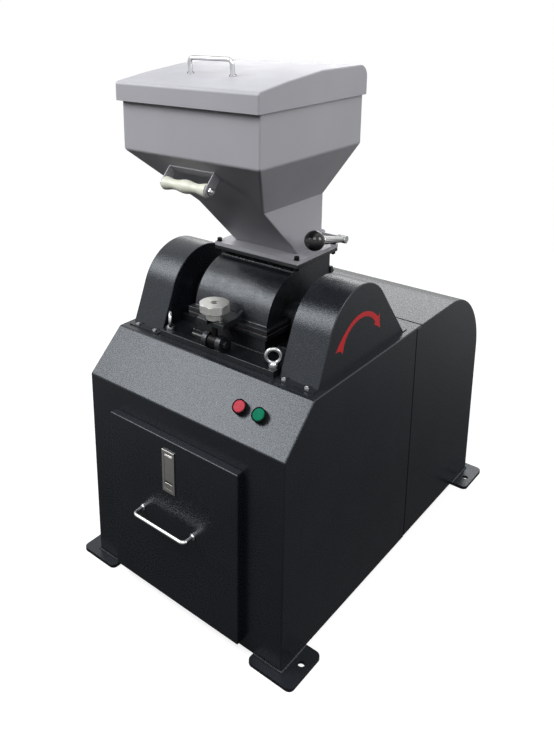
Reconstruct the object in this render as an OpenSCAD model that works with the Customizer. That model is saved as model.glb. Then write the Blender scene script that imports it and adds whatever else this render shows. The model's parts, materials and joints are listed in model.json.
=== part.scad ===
// Hammer mill for grain: cabinet with motor and collecting drawer, a mill
// casing split at the rotor, and a feed hopper that tips back on the casing.
// +X is the machine's right, -Y its front, +Z up. The origin lies on the floor,
// midway between the four anchor holes.

/* [Cabinet] */
// Width of the cabinet
cab_w = 500; // [480:5:540]
// Depth of the cabinet with its rear cover
cab_d = 835; // [810:5:900]
// Height of the deck above the floor
deck_h = 529; // [520:1:560]
// Height of the upright front face
fold_h = 448; // [435:1:460]
// Depth of the sloped control panel
slope_d = 88; // [80:1:95]
// Thickness of the cabinet sheet
cab_t = 3; // [2:0.5:4]
// Depth of the front part, up to the seam in its sides
seam_d = 483; // [478:1:500]
// Length of deck that laps back over the rear cover
deck_lap = 22; // [10:1:30]
// Width of the open seam between cabinet and rear cover
seam_gap = 2.5; // [1:0.5:3]
// Bend radius at the top of the rear cover
cover_r = 170; // [120:5:200]
// Height of the vent slots in the rear cover
vent_h = 5; // [3:1:8]
// Length of a vent slot
vent_l = 90; // [70:5:110]
// Distance between the vent slots
vent_pitch = 18; // [14:1:20]
// Height of the lowest vent slot above the floor
vent_z = 150; // [120:5:180]
// Diameter of the cover screws' heads
screw_d = 9; // [8:0.5:10]
// Height of the cover screws' heads
screw_h = 3.6; // [3:0.2:4]
// Distance of the rear cover's screws from its sides
screw_in = 50; // [40:5:70]
// Height of the rear cover's screws above the floor
screw_z = 60; // [55:5:80]

/* [Base frame and feet] */
// Height of the frame angles
frame_h = 40; // [30:1:50]
// Thickness of the frame angles
frame_t = 4; // [3:0.5:6]
// Thickness of the floor sheet
floor_t = 2; // [1.5:0.5:4]
// Thickness of an anchor foot
foot_t = 8; // [6:1:12]
// Width of an anchor foot
foot_w = 100; // [90:1:120]
// Depth of an anchor foot
foot_d = 105; // [95:1:120]
// How far a foot stands out at the side
foot_out = 35; // [32:1:45]
// How far a foot stands out at the front or rear
foot_fore = 21; // [10:1:30]
// Radius of a foot's corners
foot_r = 12; // [4:1:14]
// Diameter of an anchor hole
anchor_d = 14; // [10:1:16]
// Distance of the anchor holes outside the cabinet wall
anchor_out = 17; // [15:1:20]
// Distance of the anchor holes from the cabinet's front and rear
anchor_in = 41; // [30:1:50]

/* [Mill base and shaft] */
// Thickness of the mill's base plate
plate_t = 12; // [10:1:16]
// Half width of the base plate
plate_hw = 146; // [144:1:148]
// Distance from the cabinet's front to the base plate
plate_y0 = 108; // [104:1:112]
// Distance from the cabinet's front to the rear of the base plate
plate_y1 = 446; // [440:1:460]
// Distance from the cabinet's front to the rotor shaft
axis_d = 260; // [258:1:264]
// Height of the shaft above the base plate
bearing_h = 43; // [42:0.5:46]
// Diameter of the rotor shaft
shaft_d = 30; // [25:1:32]
// Distance of each bearing from the middle of the mill
bearing_x = 125; // [123.5:0.5:125]
// Width of a bearing housing
bearing_w = 40; // [34:1:42]
// Length of a bearing housing's foot
bearing_l = 165; // [150:1:170]
// Outer radius of a bearing housing
bearing_r = 40; // [36:1:41]
// Outer diameter of the bearing insert
insert_d = 62; // [52:1:64]

/* [Casing] */
// Outer radius of the drum
drum_r = 101; // [100:0.5:104]
// Thickness of the casing walls
drum_t = 6; // [4:0.5:7]
// Half width of the casing over its side walls
drum_hw = 92; // [90:0.5:93]
// Thickness of the split flanges
flange_t = 10; // [8:0.5:12]
// Width of the split flanges outside the walls
flange_w = 9; // [7:0.5:10]
// Distance from the shaft to the rear face of the casing
casing_rear = 123; // [120:0.5:125]
// Distance from the shaft to the front face of the feed throat
throat_front = 4; // [0:0.5:12]
// Thickness of the casing gasket
gasket_t = 1; // [0.5:0.5:2]
// Radius of the shaft collars on the side walls
collar_r = 32; // [28:1:34]

/* [Rotor] */
// Radius of a rotor disc
disc_r = 68; // [66:0.5:70]
// Thickness of a rotor disc
disc_t = 6; // [4:0.5:7]
// Number of rotor discs
disc_n = 5; // [4:1:5]
// Distance between rotor discs
disc_pitch = 36; // [34:0.5:38]
// Distance of the hammer pins from the shaft axis
pin_r = 56; // [55:0.5:57]
// Diameter of a hammer pin
pin_d = 12; // [10:0.5:13]
// Length of a hammer from its pin to its tip
hammer_l = 31; // [26:0.5:32]
// Width of a hammer
hammer_w = 22; // [18:0.5:23]
// Thickness of a hammer
hammer_t = 8; // [5:0.5:10]
// Thickness of the sieve
sieve_t = 2; // [1:0.5:2.5]
// Diameter of a sieve hole
sieve_hole = 8; // [5:0.5:9]
// Pitch of the sieve holes across the mill
sieve_pitch = 16; // [14:0.5:20]

/* [Drive] */
// Distance of the pulley and flywheel from the middle
drive_x = 195; // [193:0.5:197]
// Outer radius of the rotor pulley
rotor_pulley_r = 60; // [55:1:66]
// Outer radius of the motor pulley
motor_pulley_r = 80; // [72:1:84]
// Width of a pulley
pulley_w = 38; // [36:1:42]
// Distance between the two belts
belt_pitch = 16; // [15:0.5:18]
// Width of a belt
belt_w = 8; // [7:0.5:8.5]
// Height of a belt
belt_h = 8; // [6:0.5:9]
// Radius of the flywheel
flywheel_r = 88; // [75:1:95]
// Width of the flywheel's rim
flywheel_w = 32; // [28:1:36]
// Thickness of the flywheel's rim
flywheel_rim = 18; // [14:1:22]
// Width of the flywheel's hub
flywheel_hub_w = 36; // [32:1:38]
// Wall of the flywheel's hub
flywheel_hub_t = 14; // [10:1:16]
// Thickness of the flywheel's web
flywheel_web = 12; // [8:1:16]
// Distance from the cabinet's front to the motor shaft
motor_d = 665; // [660:1:680]
// Height of the motor shaft above its feet
motor_h = 100; // [98:1:112]
// Radius of the motor body
motor_r = 92; // [85:1:96]
// Length of the motor body
motor_l = 300; // [280:1:320]

/* [Guards] */
// Distance from the middle of the mill to a guard's inner face
guard_in = 152; // [151:0.5:153]
// Distance from the middle of the mill to a guard's outer face
guard_out = 236; // [234:1:238]
// Radius of a guard's crown
guard_r = 115; // [112:1:118]
// Height of the crown's centre below the shaft
guard_drop = 9; // [4:1:12]
// Slope of the guard's front
guard_front_a = 68; // [64:1:72]
// Slope of the guard's rear
guard_rear_a = 51; // [48:1:54]
// Thickness of the guard sheet
guard_t = 2; // [1.5:0.5:3]
// Depth of a guard's foot flange
guard_foot = 15; // [13:1:15]

/* [Clamp] */
// Distance from the cabinet's front to the swing bolt
clamp_d = 113; // [111:0.5:114]
// Radius of the clamp lug, which sets its pivot height
lug_r = 16; // [14:0.5:17]
// Diameter of the swing bolt
bolt_d = 12; // [10:0.5:14]
// Width of the swing bolt's eye
eye_w = 22; // [18:1:24]
// Thickness of each ear of the lug
ear_t = 12; // [9:1:14]
// Diameter of the clamp pin
clamp_pin_d = 8; // [7:0.5:10]
// Thickness of the yoke
yoke_t = 12; // [10:0.5:14]
// Half width of the yoke
yoke_hw = 34; // [30:1:38]
// Width of the octagonal knob over its flats
knob_w = 58; // [54:1:64]
// Height of the octagonal head
knob_h = 18; // [15:1:22]
// Height of the round boss below the head
boss_h = 15; // [12:1:18]
// Diameter of the round boss
boss_d = 36; // [32:1:40]

/* [Casing hinge] */
// Distance from the casing's rear face to the hinge pin
hinge_off = 25; // [24:0.5:28]
// Outer radius of the hinge knuckles
knuckle_r = 11; // [10:0.5:12]
// Diameter of the hinge pin
hinge_pin_d = 12; // [10:0.5:13]
// Distance of the hinge arms from the middle
arm_x = 80; // [76:1:82]
// Width of a hinge arm
arm_w = 30; // [26:1:32]
// Thickness of a hinge arm
arm_t = 8; // [6:0.5:10]
// Height of a hinge arm above the shaft axis
arm_h = 76; // [70:1:84]

/* [Hopper] */
// Sheet thickness of the hopper
hop_t = 2; // [1.5:0.5:3]
// Half width of the hopper box
box_hw = 162; // [156:1:164]
// Distance from the cabinet's front to the hopper's front
box_y0 = 40; // [38:1:44]
// Distance from the cabinet's front to the hopper's rear
box_y1 = 366; // [364:1:368]
// Height of the bottom fold of the hopper box above the deck
box_up = 407; // [397:1:417]
// Height of the hopper's rim above the deck
rim_up = 533; // [531:0.5:534]
// Half width of the neck
neck_hw = 81; // [78:1:84]
// Height of the top of the neck's side walls above the deck
neck_up = 293; // [283:1:303]
// Distance from the cabinet's front to the neck's front wall at its foot
neck_y0 = 278; // [274:1:282]
// Height of the hopper flange's top above the deck
hop_flange_up = 183; // [182:0.5:185]
// Thickness of the hopper flange and of the throat flange
hop_flange_t = 8; // [6:0.5:8]
// Half width of the hopper flange
hop_flange_hw = 105.5; // [104:0.5:108]
// Distance from the cabinet's front to the flange's front edge
hop_flange_y0 = 241; // [239:0.5:243]
// Distance from the cabinet's front to the flange's rear edge
hop_flange_y1 = 390; // [389:0.5:391]
// Distance of the flange bolts from the flange's edges
flange_bolt_in = 7; // [6.5:0.5:7]

/* [Lid] */
// Sheet thickness of the lid
lid_t = 2; // [1.5:0.5:2.5]
// Gap between the lid's skirt and the hopper box
lid_gap = 3.5; // [3:0.5:5]
// Height of the lid's lower edge below the hopper's rim
lid_drop = 32; // [28:1:36]
// Rise of the lid's top from front to rear
lid_rise = 23; // [18:1:26]
// Distance from the lid's front to the start of its level part
lid_level_d = 187; // [170:1:200]
// Radius of the lid's rear bend
lid_r = 25; // [20:1:28]
// Width of a lid hinge over its two leaves
lid_hinge_w = 53; // [50:1:56]
// Width of one leaf of a lid hinge
leaf_w = 14; // [12:1:15]
// Distance between the legs of the lid handle
lid_handle_cc = 100; // [90:1:120]
// Distance from the lid's front to its handle
lid_handle_d = 88; // [75:1:100]
// Height of the lid handle
lid_handle_h = 34; // [30:1:40]
// Diameter of the handles' rod
rod_d = 8; // [7:0.5:10]

/* [Feed flap] */
// Distance of the flap shaft from the hopper's rear wall
flap_in = 14; // [12:0.5:16]
// Height of the flap shaft above the hopper flange
flap_up = 26; // [24:1:32]
// Diameter of the flap shaft
flap_shaft_d = 12; // [10:0.5:13]
// Distance of the lever from the middle
lever_x = 138; // [134:1:140]
// Length of the lever from its shaft to the ball
lever_l = 106; // [100:1:115]
// Angle of the lever above level when the flap is closed
lever_a = 12; // [5:1:15]
// Diameter of the ball
ball_d = 40; // [34:1:42]

/* [Tipping grip] */
// Distance over the legs of the grip bracket
grip_w = 110; // [104:1:120]
// Offset of the grip from the middle
grip_x = -10; // [-14:1:-6]
// Height of the bracket's top edge above the deck
grip_up = 370; // [361:1:376]
// Distance of the grip's axis from the hopper's front wall
grip_off = 33; // [30:1:38]
// Width of the bracket strip
strip_w = 22; // [18:1:24]
// Thickness of the bracket strip
strip_t = 2.5; // [2:0.5:4]

/* [Drawer] */
// Offset of the drawer from the middle
drawer_x = -6; // [-8:1:0]
// Width of the drawer front
drawer_w = 335; // [330:1:340]
// Height of the drawer front's lower edge above the floor
drawer_z0 = 24; // [20:1:28]
// Height of the drawer front's upper edge above the floor
drawer_z1 = 394; // [388:1:400]
// Depth of the drawer front
drawer_t = 18; // [15:1:20]
// Overlap of the drawer front over its aperture
drawer_lap = 14; // [12:1:18]
// Width of the tub
tub_w = 290; // [270:1:300]
// Height of the tub
tub_h = 268; // [250:1:272]
// Length of the tub behind the drawer front
tub_l = 430; // [400:1:440]
// Sheet thickness of the tub and drawer front
tub_t = 2; // [1.5:0.5:2.5]
// Distance between the legs of the drawer handle
pull_cc = 136; // [120:1:150]
// Offset of the drawer handle from the drawer's middle
pull_x = -10; // [-12:1:0]
// Height of the drawer handle above the floor
pull_z = 210; // [200:1:220]
// Length that the drawer handle stands out
pull_h = 32; // [28:1:40]

/* [Latch] */
// Width of the latch plate
latch_w = 32; // [30:1:36]
// Height of the latch plate
latch_h = 92; // [88:1:98]
// Height of the latch's middle above the floor
latch_z = 326; // [320:1:330]

/* [Buttons] */
// Distance of the stop button from the cabinet's right side
stop_in = 127; // [122:1:135]
// Distance between the buttons
button_pitch = 44; // [40:1:50]
// Distance of the buttons up the slope
button_s = 57; // [50:1:65]
// Outer diameter of a button's bezel
bezel_d = 29; // [28:0.5:32]
// Height of a bezel
bezel_h = 7; // [5:0.5:9]
// Diameter of a button's cap
cap_d = 24; // [22:0.5:24.5]
// Travel of a button
button_travel = 3; // [2:0.5:4]

/* [Hidden] */
$fn = 48;

// Clearances
run_gap = 0.05;
rest_gap = 0.2;
slide_gap = 0.5;
over = 1;

// Places along Y are given as distances from the cabinet's front
function fy(d) = d - cab_d / 2;
axis_y = fy(axis_d);
plate_z = deck_h + plate_t;
axis_z = plate_z + bearing_h;
hop_flange_z = deck_h + hop_flange_up;
neck_z1 = deck_h + neck_up;
box_z0 = deck_h + box_up;
rim_z = deck_h + rim_up;
grip_z = deck_h + grip_up;
stop_x = cab_w / 2 - stop_in;
floor_z = foot_t + frame_h;
inner_hw = cab_w / 2 - cab_t;

// A span of width w about the middle c
function mid(c, w) = [c - w / 2, c + w / 2];

// ---- shared shapes ----
module block(x, y, z) {
    translate([x[0], y[0], z[0]]) cube([x[1] - x[0], y[1] - y[0], z[1] - z[0]]);
}
// Extrudes a (y, z) profile along X
module along_x(x) {
    translate([x[0], 0, 0]) rotate([90, 0, 90]) linear_extrude(x[1] - x[0]) children();
}
// Extrudes an (x, z) profile along Y
module along_y(y) {
    translate([0, y[1], 0]) rotate([90, 0, 0]) linear_extrude(y[1] - y[0]) children();
}
module rod_x(x, y, z, d) {
    translate([x[0], y, z]) rotate([0, 90, 0]) cylinder(d = d, h = x[1] - x[0]);
}
module rod_y(y, x, z, d) {
    translate([x, y[1], z]) rotate([90, 0, 0]) cylinder(d = d, h = y[1] - y[0]);
}
module both_sides() {
    children();
    mirror([1, 0, 0]) children();
}
// Plate in the XY plane with four round corners
module round_plate(x, y, r) {
    translate([x[0] + r, y[0]]) square([x[1] - x[0] - 2 * r, y[1] - y[0]]);
    translate([x[0], y[0] + r]) square([x[1] - x[0], y[1] - y[0] - 2 * r]);
    for (cx = [x[0] + r, x[1] - r], cy = [y[0] + r, y[1] - r])
        translate([cx, cy]) circle(r);
}
// Hexagon head with its washer face on z = 0
module hex_head(flats, h) {
    intersection() {
        cylinder(d = flats / cos(30), h = h, $fn = 6);
        cylinder(d1 = flats / cos(30) + 4 * h, d2 = flats, h = h);
    }
}
// Round-topped screw head with its seat on z = 0
module pan_head(d, h) {
    difference() {
        cylinder(d = d, h = h);
        translate([0, 0, h - 1]) cylinder(d = d * 0.45, h = 1 + over, $fn = 6);
    }
}
// Socket head with its seat on z = 0
module socket_head(d, h) {
    difference() {
        cylinder(d = d, h = h);
        translate([0, 0, h / 2]) cylinder(d = d * 0.5, h = h, $fn = 6);
    }
}
// Rod handle that stands on z = 0, its legs apart along X
module rod_handle(cc, h, d, bend_r) {
    for (s = [-1, 1]) {
        translate([s * cc / 2, 0, 0]) {
            cylinder(d = d, h = h - d / 2 - bend_r);
            cylinder(d = d + 5, h = 3);
        }
        translate([s * (cc / 2 - bend_r), 0, h - d / 2 - bend_r])
            rotate([90, 0, 0]) rotate_extrude(angle = 90, start = s > 0 ? 0 : 90)
            translate([bend_r, 0]) circle(d = d, $fn = 32);
    }
    rod_x([bend_r - cc / 2, cc / 2 - bend_r], 0, h - d / 2, d);
}

// ---- base frame and feet ----
rail_y = [fy(cab_t), fy(cab_d - cab_t)];
runner_x = tub_w / 2 + slide_gap;
runner_t = 3;
runner_h = 26;
motor_plate_t = 8;
module base_frame() {
    color([0.13, 0.13, 0.14]) {
        difference() {
            block([-inner_hw, inner_hw], rail_y, [foot_t, floor_z + floor_t]);
            block([frame_t - inner_hw, inner_hw - frame_t],
                [rail_y[0] + frame_t, rail_y[1] - frame_t], [foot_t - over, floor_z]);
        }
        // Cross channel below the seam, and the motor plate
        block([frame_t - inner_hw, inner_hw - frame_t], [fy(seam_d - 20), fy(seam_d + 20)],
            [floor_z - 20, floor_z]);
        block(mid((motor_x[0] + motor_x[1]) / 2, motor_l + 20), mid(motor_y, 220),
            [floor_z + floor_t, floor_z + floor_t + motor_plate_t]);
        // Runners that guide the tub
        for (s = [-1, 1])
            translate([drawer_x, 0, 0]) mirror([s < 0 ? 1 : 0, 0, 0]) {
                block([runner_x - 22, runner_x + runner_t], [fy(2 * cab_t), fy(tub_l)],
                    [floor_z + floor_t, floor_z + floor_t + runner_t]);
                block([runner_x, runner_x + runner_t], [fy(2 * cab_t), fy(tub_l)],
                    [floor_z + floor_t, floor_z + floor_t + runner_h]);
            }
    }
}
anchor_x = cab_w / 2 + anchor_out;
anchor_y = cab_d / 2 - anchor_in;
module anchor_feet() {
    color([0.13, 0.13, 0.14])
        for (mx = [0, 1], my = [0, 1]) mirror([mx, 0, 0]) mirror([0, my, 0])
            difference() {
                linear_extrude(foot_t) round_plate(
                    [cab_w / 2 + foot_out - foot_w, cab_w / 2 + foot_out],
                    [cab_d / 2 + foot_fore - foot_d, cab_d / 2 + foot_fore], foot_r);
                translate([anchor_x, anchor_y, -over]) cylinder(d = anchor_d, h = foot_t + 2 * over);
            }
}

// ---- cabinet ----
slope_a = atan2(deck_h - fold_h, slope_d);
well_x = [guard_in + 8, guard_out - 8];
well_y = [fy(150), fy(415)];
ap_x = [drawer_x - drawer_w / 2 + drawer_lap, drawer_x + drawer_w / 2 - drawer_lap];
ap_z = [drawer_z0 + drawer_lap + 4, drawer_z1 - drawer_lap];
// Places a shape on the sloped panel, its local Z square to the panel
module on_slope(x, s) {
    translate([x, fy(s * cos(slope_a)), fold_h + s * sin(slope_a)]) rotate([slope_a, 0, 0]) children();
}
module cab_outline(low, back) {
    polygon([[fy(0), low], [fy(0), fold_h], [fy(slope_d), deck_h], [fy(back), deck_h], [fy(back), low]]);
}
module cabinet() {
    color([0.15, 0.15, 0.16]) difference() {
        union() {
            difference() {
                along_x([-cab_w / 2, cab_w / 2]) cab_outline(foot_t, seam_d);
                along_x([-inner_hw, inner_hw])
                    offset(delta = -cab_t) cab_outline(foot_t - 20, seam_d + 20);
            }
            block([-cab_w / 2, cab_w / 2], [fy(seam_d), fy(seam_d + deck_lap)], [deck_h - cab_t, deck_h]);
            // Bulkhead between drawer and motor, open at the right for the belts
            block([-inner_hw, guard_in - 2], [fy(seam_d - 2 * cab_t), fy(seam_d - cab_t)],
                [floor_z + floor_t, deck_h - cab_t]);
        }
        block(ap_x, [fy(-over), fy(cab_t + over)], ap_z);
        block([drum_t - drum_hw, drum_hw - drum_t], casing_in_y, [deck_h - cab_t - over, deck_h + over]);
        both_sides() block(well_x, well_y, [deck_h - cab_t - over, deck_h + over]);
        for (i = [0, 1]) on_slope(stop_x + i * button_pitch, button_s)
            translate([0, 0, -cab_t - over]) cylinder(d = barrel_d, h = cab_t + 2 * over);
    }
}

// ---- rear cover ----
cover_y = [fy(seam_d + seam_gap), fy(cab_d)];
cover_z = foot_t + 2;
// Side outline: level top, round shoulder, upright back
module cover_outline(t) {
    back = cover_y[1] - t;
    top = deck_h - t;
    r = cover_r - t;
    translate([cover_y[0] - over, cover_z - over])
        square([back - r - cover_y[0] + over, top - cover_z + over]);
    translate([cover_y[0] - over, cover_z - over])
        square([back - cover_y[0] + over, top - r - cover_z + over]);
    translate([back - r, top - r]) circle(r, $fn = 96);
}
module rear_cover() {
    lap_y = fy(seam_d + deck_lap + seam_gap);
    color([0.15, 0.15, 0.16]) difference() {
        intersection() {
            along_x([-cab_w / 2, cab_w / 2]) cover_outline(0);
            block([-cab_w, cab_w], cover_y, [cover_z, 2 * deck_h]);
        }
        along_x([-inner_hw, inner_hw]) cover_outline(cab_t);
        block([-cab_w, cab_w], [cover_y[0] - over, lap_y], [deck_h - cab_t - 0.5, deck_h + over]);
        for (i = [0:6], s = [-1, 0, 1])
            block(mid(s * vent_l * 4 / 3, vent_l), [fy(cab_d - 2 * cab_t), fy(cab_d + over)],
                [vent_z + vent_pitch * i, vent_z + vent_pitch * i + vent_h]);
    }
}
guard_screw_x = [guard_in + 15, guard_out - 19];
module cover_screws() {
    color([0.75, 0.75, 0.77]) {
        both_sides() for (x = guard_screw_x, y = [guard_f[0] - 8, guard_b[0] + 8])
            translate([x, y, deck_h + guard_t]) pan_head(screw_d, screw_h);
        for (s = [-1, 0, 1]) translate([s * (cab_w / 2 - screw_in), fy(cab_d), screw_z])
            rotate([-90, 0, 0]) pan_head(screw_d, screw_h);
    }
}

// ---- mill base plate, bearings and hinge lugs ----
casing_f = axis_y - drum_r - 3;
casing_b = axis_y + casing_rear;
casing_in_y = [casing_f + drum_t, casing_b - drum_t];
lift_eye_x = [-133, 133];
lift_eye_y = fy(plate_y0 + 18);
lift_shank = 8;
module base_plate() {
    color([0.12, 0.12, 0.13]) difference() {
        block([-plate_hw, plate_hw], [fy(plate_y0), fy(plate_y1)], [deck_h, plate_z]);
        block([drum_t - drum_hw, drum_hw - drum_t], casing_in_y, [deck_h - over, plate_z + over]);
        for (x = lift_eye_x) translate([x, lift_eye_y, deck_h - over])
            cylinder(d = lift_shank + 2 * run_gap, h = plate_t + 2 * over);
    }
}
bearing_bolt_y = bearing_l / 2 - 20;
bearing_foot_h = 16;
module bearing_units() {
    both_sides() {
        color([0.14, 0.14, 0.15]) difference() {
            along_x([bearing_x - bearing_w / 2, bearing_x + bearing_w / 2]) {
                translate([axis_y - bearing_l / 2, plate_z]) square([bearing_l, bearing_foot_h]);
                translate([axis_y, axis_z]) circle(bearing_r);
                polygon([[axis_y - bearing_r - 12, plate_z], [axis_y - bearing_r + 3, axis_z],
                    [axis_y + bearing_r - 3, axis_z], [axis_y + bearing_r + 12, plate_z]]);
            }
            rod_x([0, bearing_x + bearing_w], axis_y, axis_z, insert_d);
        }
        color([0.7, 0.7, 0.72]) difference() {
            rod_x([bearing_x - 16, bearing_x + 16], axis_y, axis_z, insert_d);
            rod_x([0, bearing_x + bearing_w], axis_y, axis_z, shaft_d + 2 * run_gap);
        }
    }
}
module base_bolts() {
    color([0.3, 0.3, 0.31]) both_sides() {
        for (s = [-1, 1]) translate([bearing_x, axis_y + s * bearing_bolt_y, plate_z + bearing_foot_h])
            hex_head(17, 7);
        translate([plate_hw - 20, fy(plate_y1 - 18), plate_z]) hex_head(17, 7);
    }
}

// ---- lower casing, sieve and chute ----
lower_top = axis_z - gasket_t / 2 - rest_gap;
sieve_ro = drum_r - drum_t + sieve_t;
module flange_ring(z) {
    difference() {
        block([-drum_hw - flange_w, drum_hw + flange_w], [casing_f - flange_w + 1, casing_b + flange_w], z);
        block([drum_t - drum_hw, drum_hw - drum_t], casing_in_y, [z[0] - over, z[1] + over]);
    }
}
// Bore of the collars, wide of the shaft, which runs in the bearing units
collar_bore = shaft_d + 14;
module lower_casing() {
    color([0.12, 0.12, 0.13]) difference() {
        union() {
            flange_ring([lower_top - flange_t, lower_top]);
            difference() {
                block([-drum_hw, drum_hw], [casing_f, casing_b], [plate_z, lower_top]);
                block([drum_t - drum_hw, drum_hw - drum_t], casing_in_y, [plate_z - over, lower_top + over]);
            }
            // Ledges that carry the ends of the sieve
            difference() {
                block([drum_t - drum_hw, drum_hw - drum_t], [casing_f + drum_t, casing_b - drum_t],
                    [plate_z, plate_z + 10]);
                rod_x([-drum_hw, drum_hw], axis_y, axis_z, 2 * (sieve_ro + rest_gap));
            }
            both_sides() half_collar(-1);
        }
        rod_x([-2 * drum_hw, 2 * drum_hw], axis_y, axis_z, collar_bore);
    }
}
// Half of a shaft collar on a side wall, below (-1) or above (1) the split
module half_collar(side) {
    intersection() {
        rod_x([drum_hw, drum_hw + flange_w + 3], axis_y, axis_z, 2 * collar_r);
        block([drum_hw, 2 * drum_hw], [axis_y - drum_r, axis_y + drum_r],
            side < 0 ? [axis_z - drum_r, lower_top] : [upper_low, axis_z + drum_r]);
    }
}
sieve_cols = floor((drum_hw - drum_t - 10) / sieve_pitch);
module sieve() {
    color([0.6, 0.6, 0.62]) difference() {
        intersection() {
            difference() {
                rod_x([drum_t - drum_hw + 0.5, drum_hw - drum_t - 0.5], axis_y, axis_z, 2 * sieve_ro);
                rod_x([-drum_hw, drum_hw], axis_y, axis_z, 2 * (sieve_ro - sieve_t));
            }
            block([-drum_hw, drum_hw], [axis_y - drum_r, axis_y + drum_r],
                [axis_z - drum_r, lower_top - 2]);
        }
        for (i = [0:9], j = [-sieve_cols:sieve_cols])
            translate([(j + (i % 2 == 0 ? 0 : 0.5)) * sieve_pitch, axis_y, axis_z])
                rotate([27 + 14 * i - 90, 0, 0])
                translate([0, 0, -drum_r - 5]) cylinder(d = sieve_hole, h = 12, $fn = 24);
        rod_x([-2 * drum_hw, 2 * drum_hw], axis_y, axis_z, shaft_d + 4);
    }
}
chute_t = 2;
chute_z = [floor_z + floor_t + tub_h + 12, deck_h - cab_t];
module chute_shape(t, e) {
    hw = drum_hw - drum_t + chute_t - t;
    intersection() {
        along_x([-hw, hw]) polygon([
            [casing_in_y[0] - chute_t + t, chute_z[1] + e], [casing_in_y[0] - chute_t + t, axis_z - drum_r - 12],
            [axis_y - 62 + t, chute_z[0] - e], [axis_y + 62 - t, chute_z[0] - e],
            [casing_in_y[1] + chute_t - t, axis_z - drum_r - 12], [casing_in_y[1] + chute_t - t, chute_z[1] + e]]);
        block([-drum_hw, drum_hw], [fy(0), fy(seam_d)], [chute_z[0] - e, chute_z[1] + e]);
    }
}
module discharge_chute() {
    color([0.62, 0.63, 0.64]) {
        difference() {
            chute_shape(0, 0);
            chute_shape(chute_t, over);
        }
        // Turned-out lip below the deck
        difference() {
            block([-drum_hw - 10, drum_hw + 10], [casing_in_y[0] - 14, casing_in_y[1] + 14],
                [chute_z[1] - 3, chute_z[1]]);
            block([drum_t - drum_hw, drum_hw - drum_t], casing_in_y,
                [chute_z[1] - 3 - over, chute_z[1] + over]);
        }
    }
}

// ---- clamp: lug and pin ----
pivot_y = fy(clamp_d);
pivot_z = plate_z + lug_r;
ear_x = eye_w / 2 + slide_gap;
module clamp_lug() {
    color([0.12, 0.12, 0.13]) difference() {
        both_sides() along_x([ear_x, ear_x + ear_t]) {
            translate([pivot_y, pivot_z]) circle(lug_r);
            translate([pivot_y, plate_z]) square([lug_r + 6, lug_r + 4]);
        }
        rod_x([-2 * ear_x - ear_t, 2 * ear_x + ear_t], pivot_y, pivot_z, clamp_pin_d);
    }
}
module clamp_pin() {
    color([0.8, 0.8, 0.8]) {
        rod_x([-ear_x - ear_t - 34, ear_x + ear_t + 3], pivot_y, pivot_z, clamp_pin_d);
        translate([ear_x + ear_t, pivot_y, pivot_z]) rotate([0, 90, 0]) hex_head(13, 6.5);
    }
}

// ---- casing hinge ----
hinge_y = casing_b + hinge_off;
lug_t = 10;
module hinge_lugs() {
    color([0.12, 0.12, 0.13]) difference() {
        both_sides() for (x = [arm_x - arm_w / 2 - slide_gap - lug_t, arm_x + arm_w / 2 + slide_gap])
            along_x([x, x + lug_t]) {
                translate([hinge_y, axis_z]) circle(knuckle_r);
                translate([hinge_y - knuckle_r, plate_z]) square([2 * knuckle_r, axis_z - plate_z]);
            }
        rod_x([-2 * arm_x, 2 * arm_x], hinge_y, axis_z, hinge_pin_d);
    }
}
module hinge_pin() {
    color([0.7, 0.7, 0.72]) both_sides()
        rod_x([arm_x - arm_w / 2 - slide_gap - lug_t - 3, arm_x + arm_w / 2 + slide_gap + lug_t + 3],
            hinge_y, axis_z, hinge_pin_d);
}
arm_bolt_z = [34, 64];
module hinge_arms() {
    color([0.12, 0.12, 0.13]) both_sides() difference() {
        along_x([arm_x - arm_w / 2, arm_x + arm_w / 2]) {
            translate([hinge_y, axis_z]) circle(knuckle_r);
            translate([casing_b, axis_z + flange_t + 6]) square([arm_t, arm_h - flange_t - 6]);
            polygon([[casing_b, axis_z + flange_t + 6], [hinge_y - knuckle_r * 0.6, axis_z + knuckle_r * 0.8],
                [hinge_y + knuckle_r, axis_z], [hinge_y + knuckle_r * 0.7, axis_z + knuckle_r * 0.714],
                [casing_b + arm_t, axis_z + arm_bolt_z[0] - 9], [casing_b, axis_z + arm_bolt_z[0] - 9]]);
        }
        rod_x([0, 2 * arm_x], hinge_y, axis_z, hinge_pin_d + 2 * run_gap);
    }
}

// ---- guards ----
guard_back = 2;
guard_c = [axis_y + guard_back, axis_z - guard_drop];
// Tangent points of the straight front and rear, and their feet at height z
function guard_tan_f(r) = guard_c + r * [-sin(guard_front_a), cos(guard_front_a)];
function guard_tan_b(r) = guard_c + r * [sin(guard_rear_a), cos(guard_rear_a)];
function guard_foot_f(r, z) = [guard_tan_f(r)[0] - (guard_tan_f(r)[1] - z) / tan(guard_front_a), z];
function guard_foot_b(r, z) = [guard_tan_b(r)[0] + (guard_tan_b(r)[1] - z) / tan(guard_rear_a), z];
guard_f = guard_foot_f(guard_r, deck_h);
guard_b = guard_foot_b(guard_r, deck_h);
module guard_outline(t, z) {
    r = guard_r - t;
    intersection() {
        union() {
            translate(guard_c) circle(r, $fn = 96);
            polygon([guard_foot_f(r, z), guard_tan_f(r), guard_c, guard_tan_b(r), guard_foot_b(r, z)]);
        }
        translate([guard_f[0] - guard_r, z]) square([5 * guard_r, 3 * guard_r]);
    }
}
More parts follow.
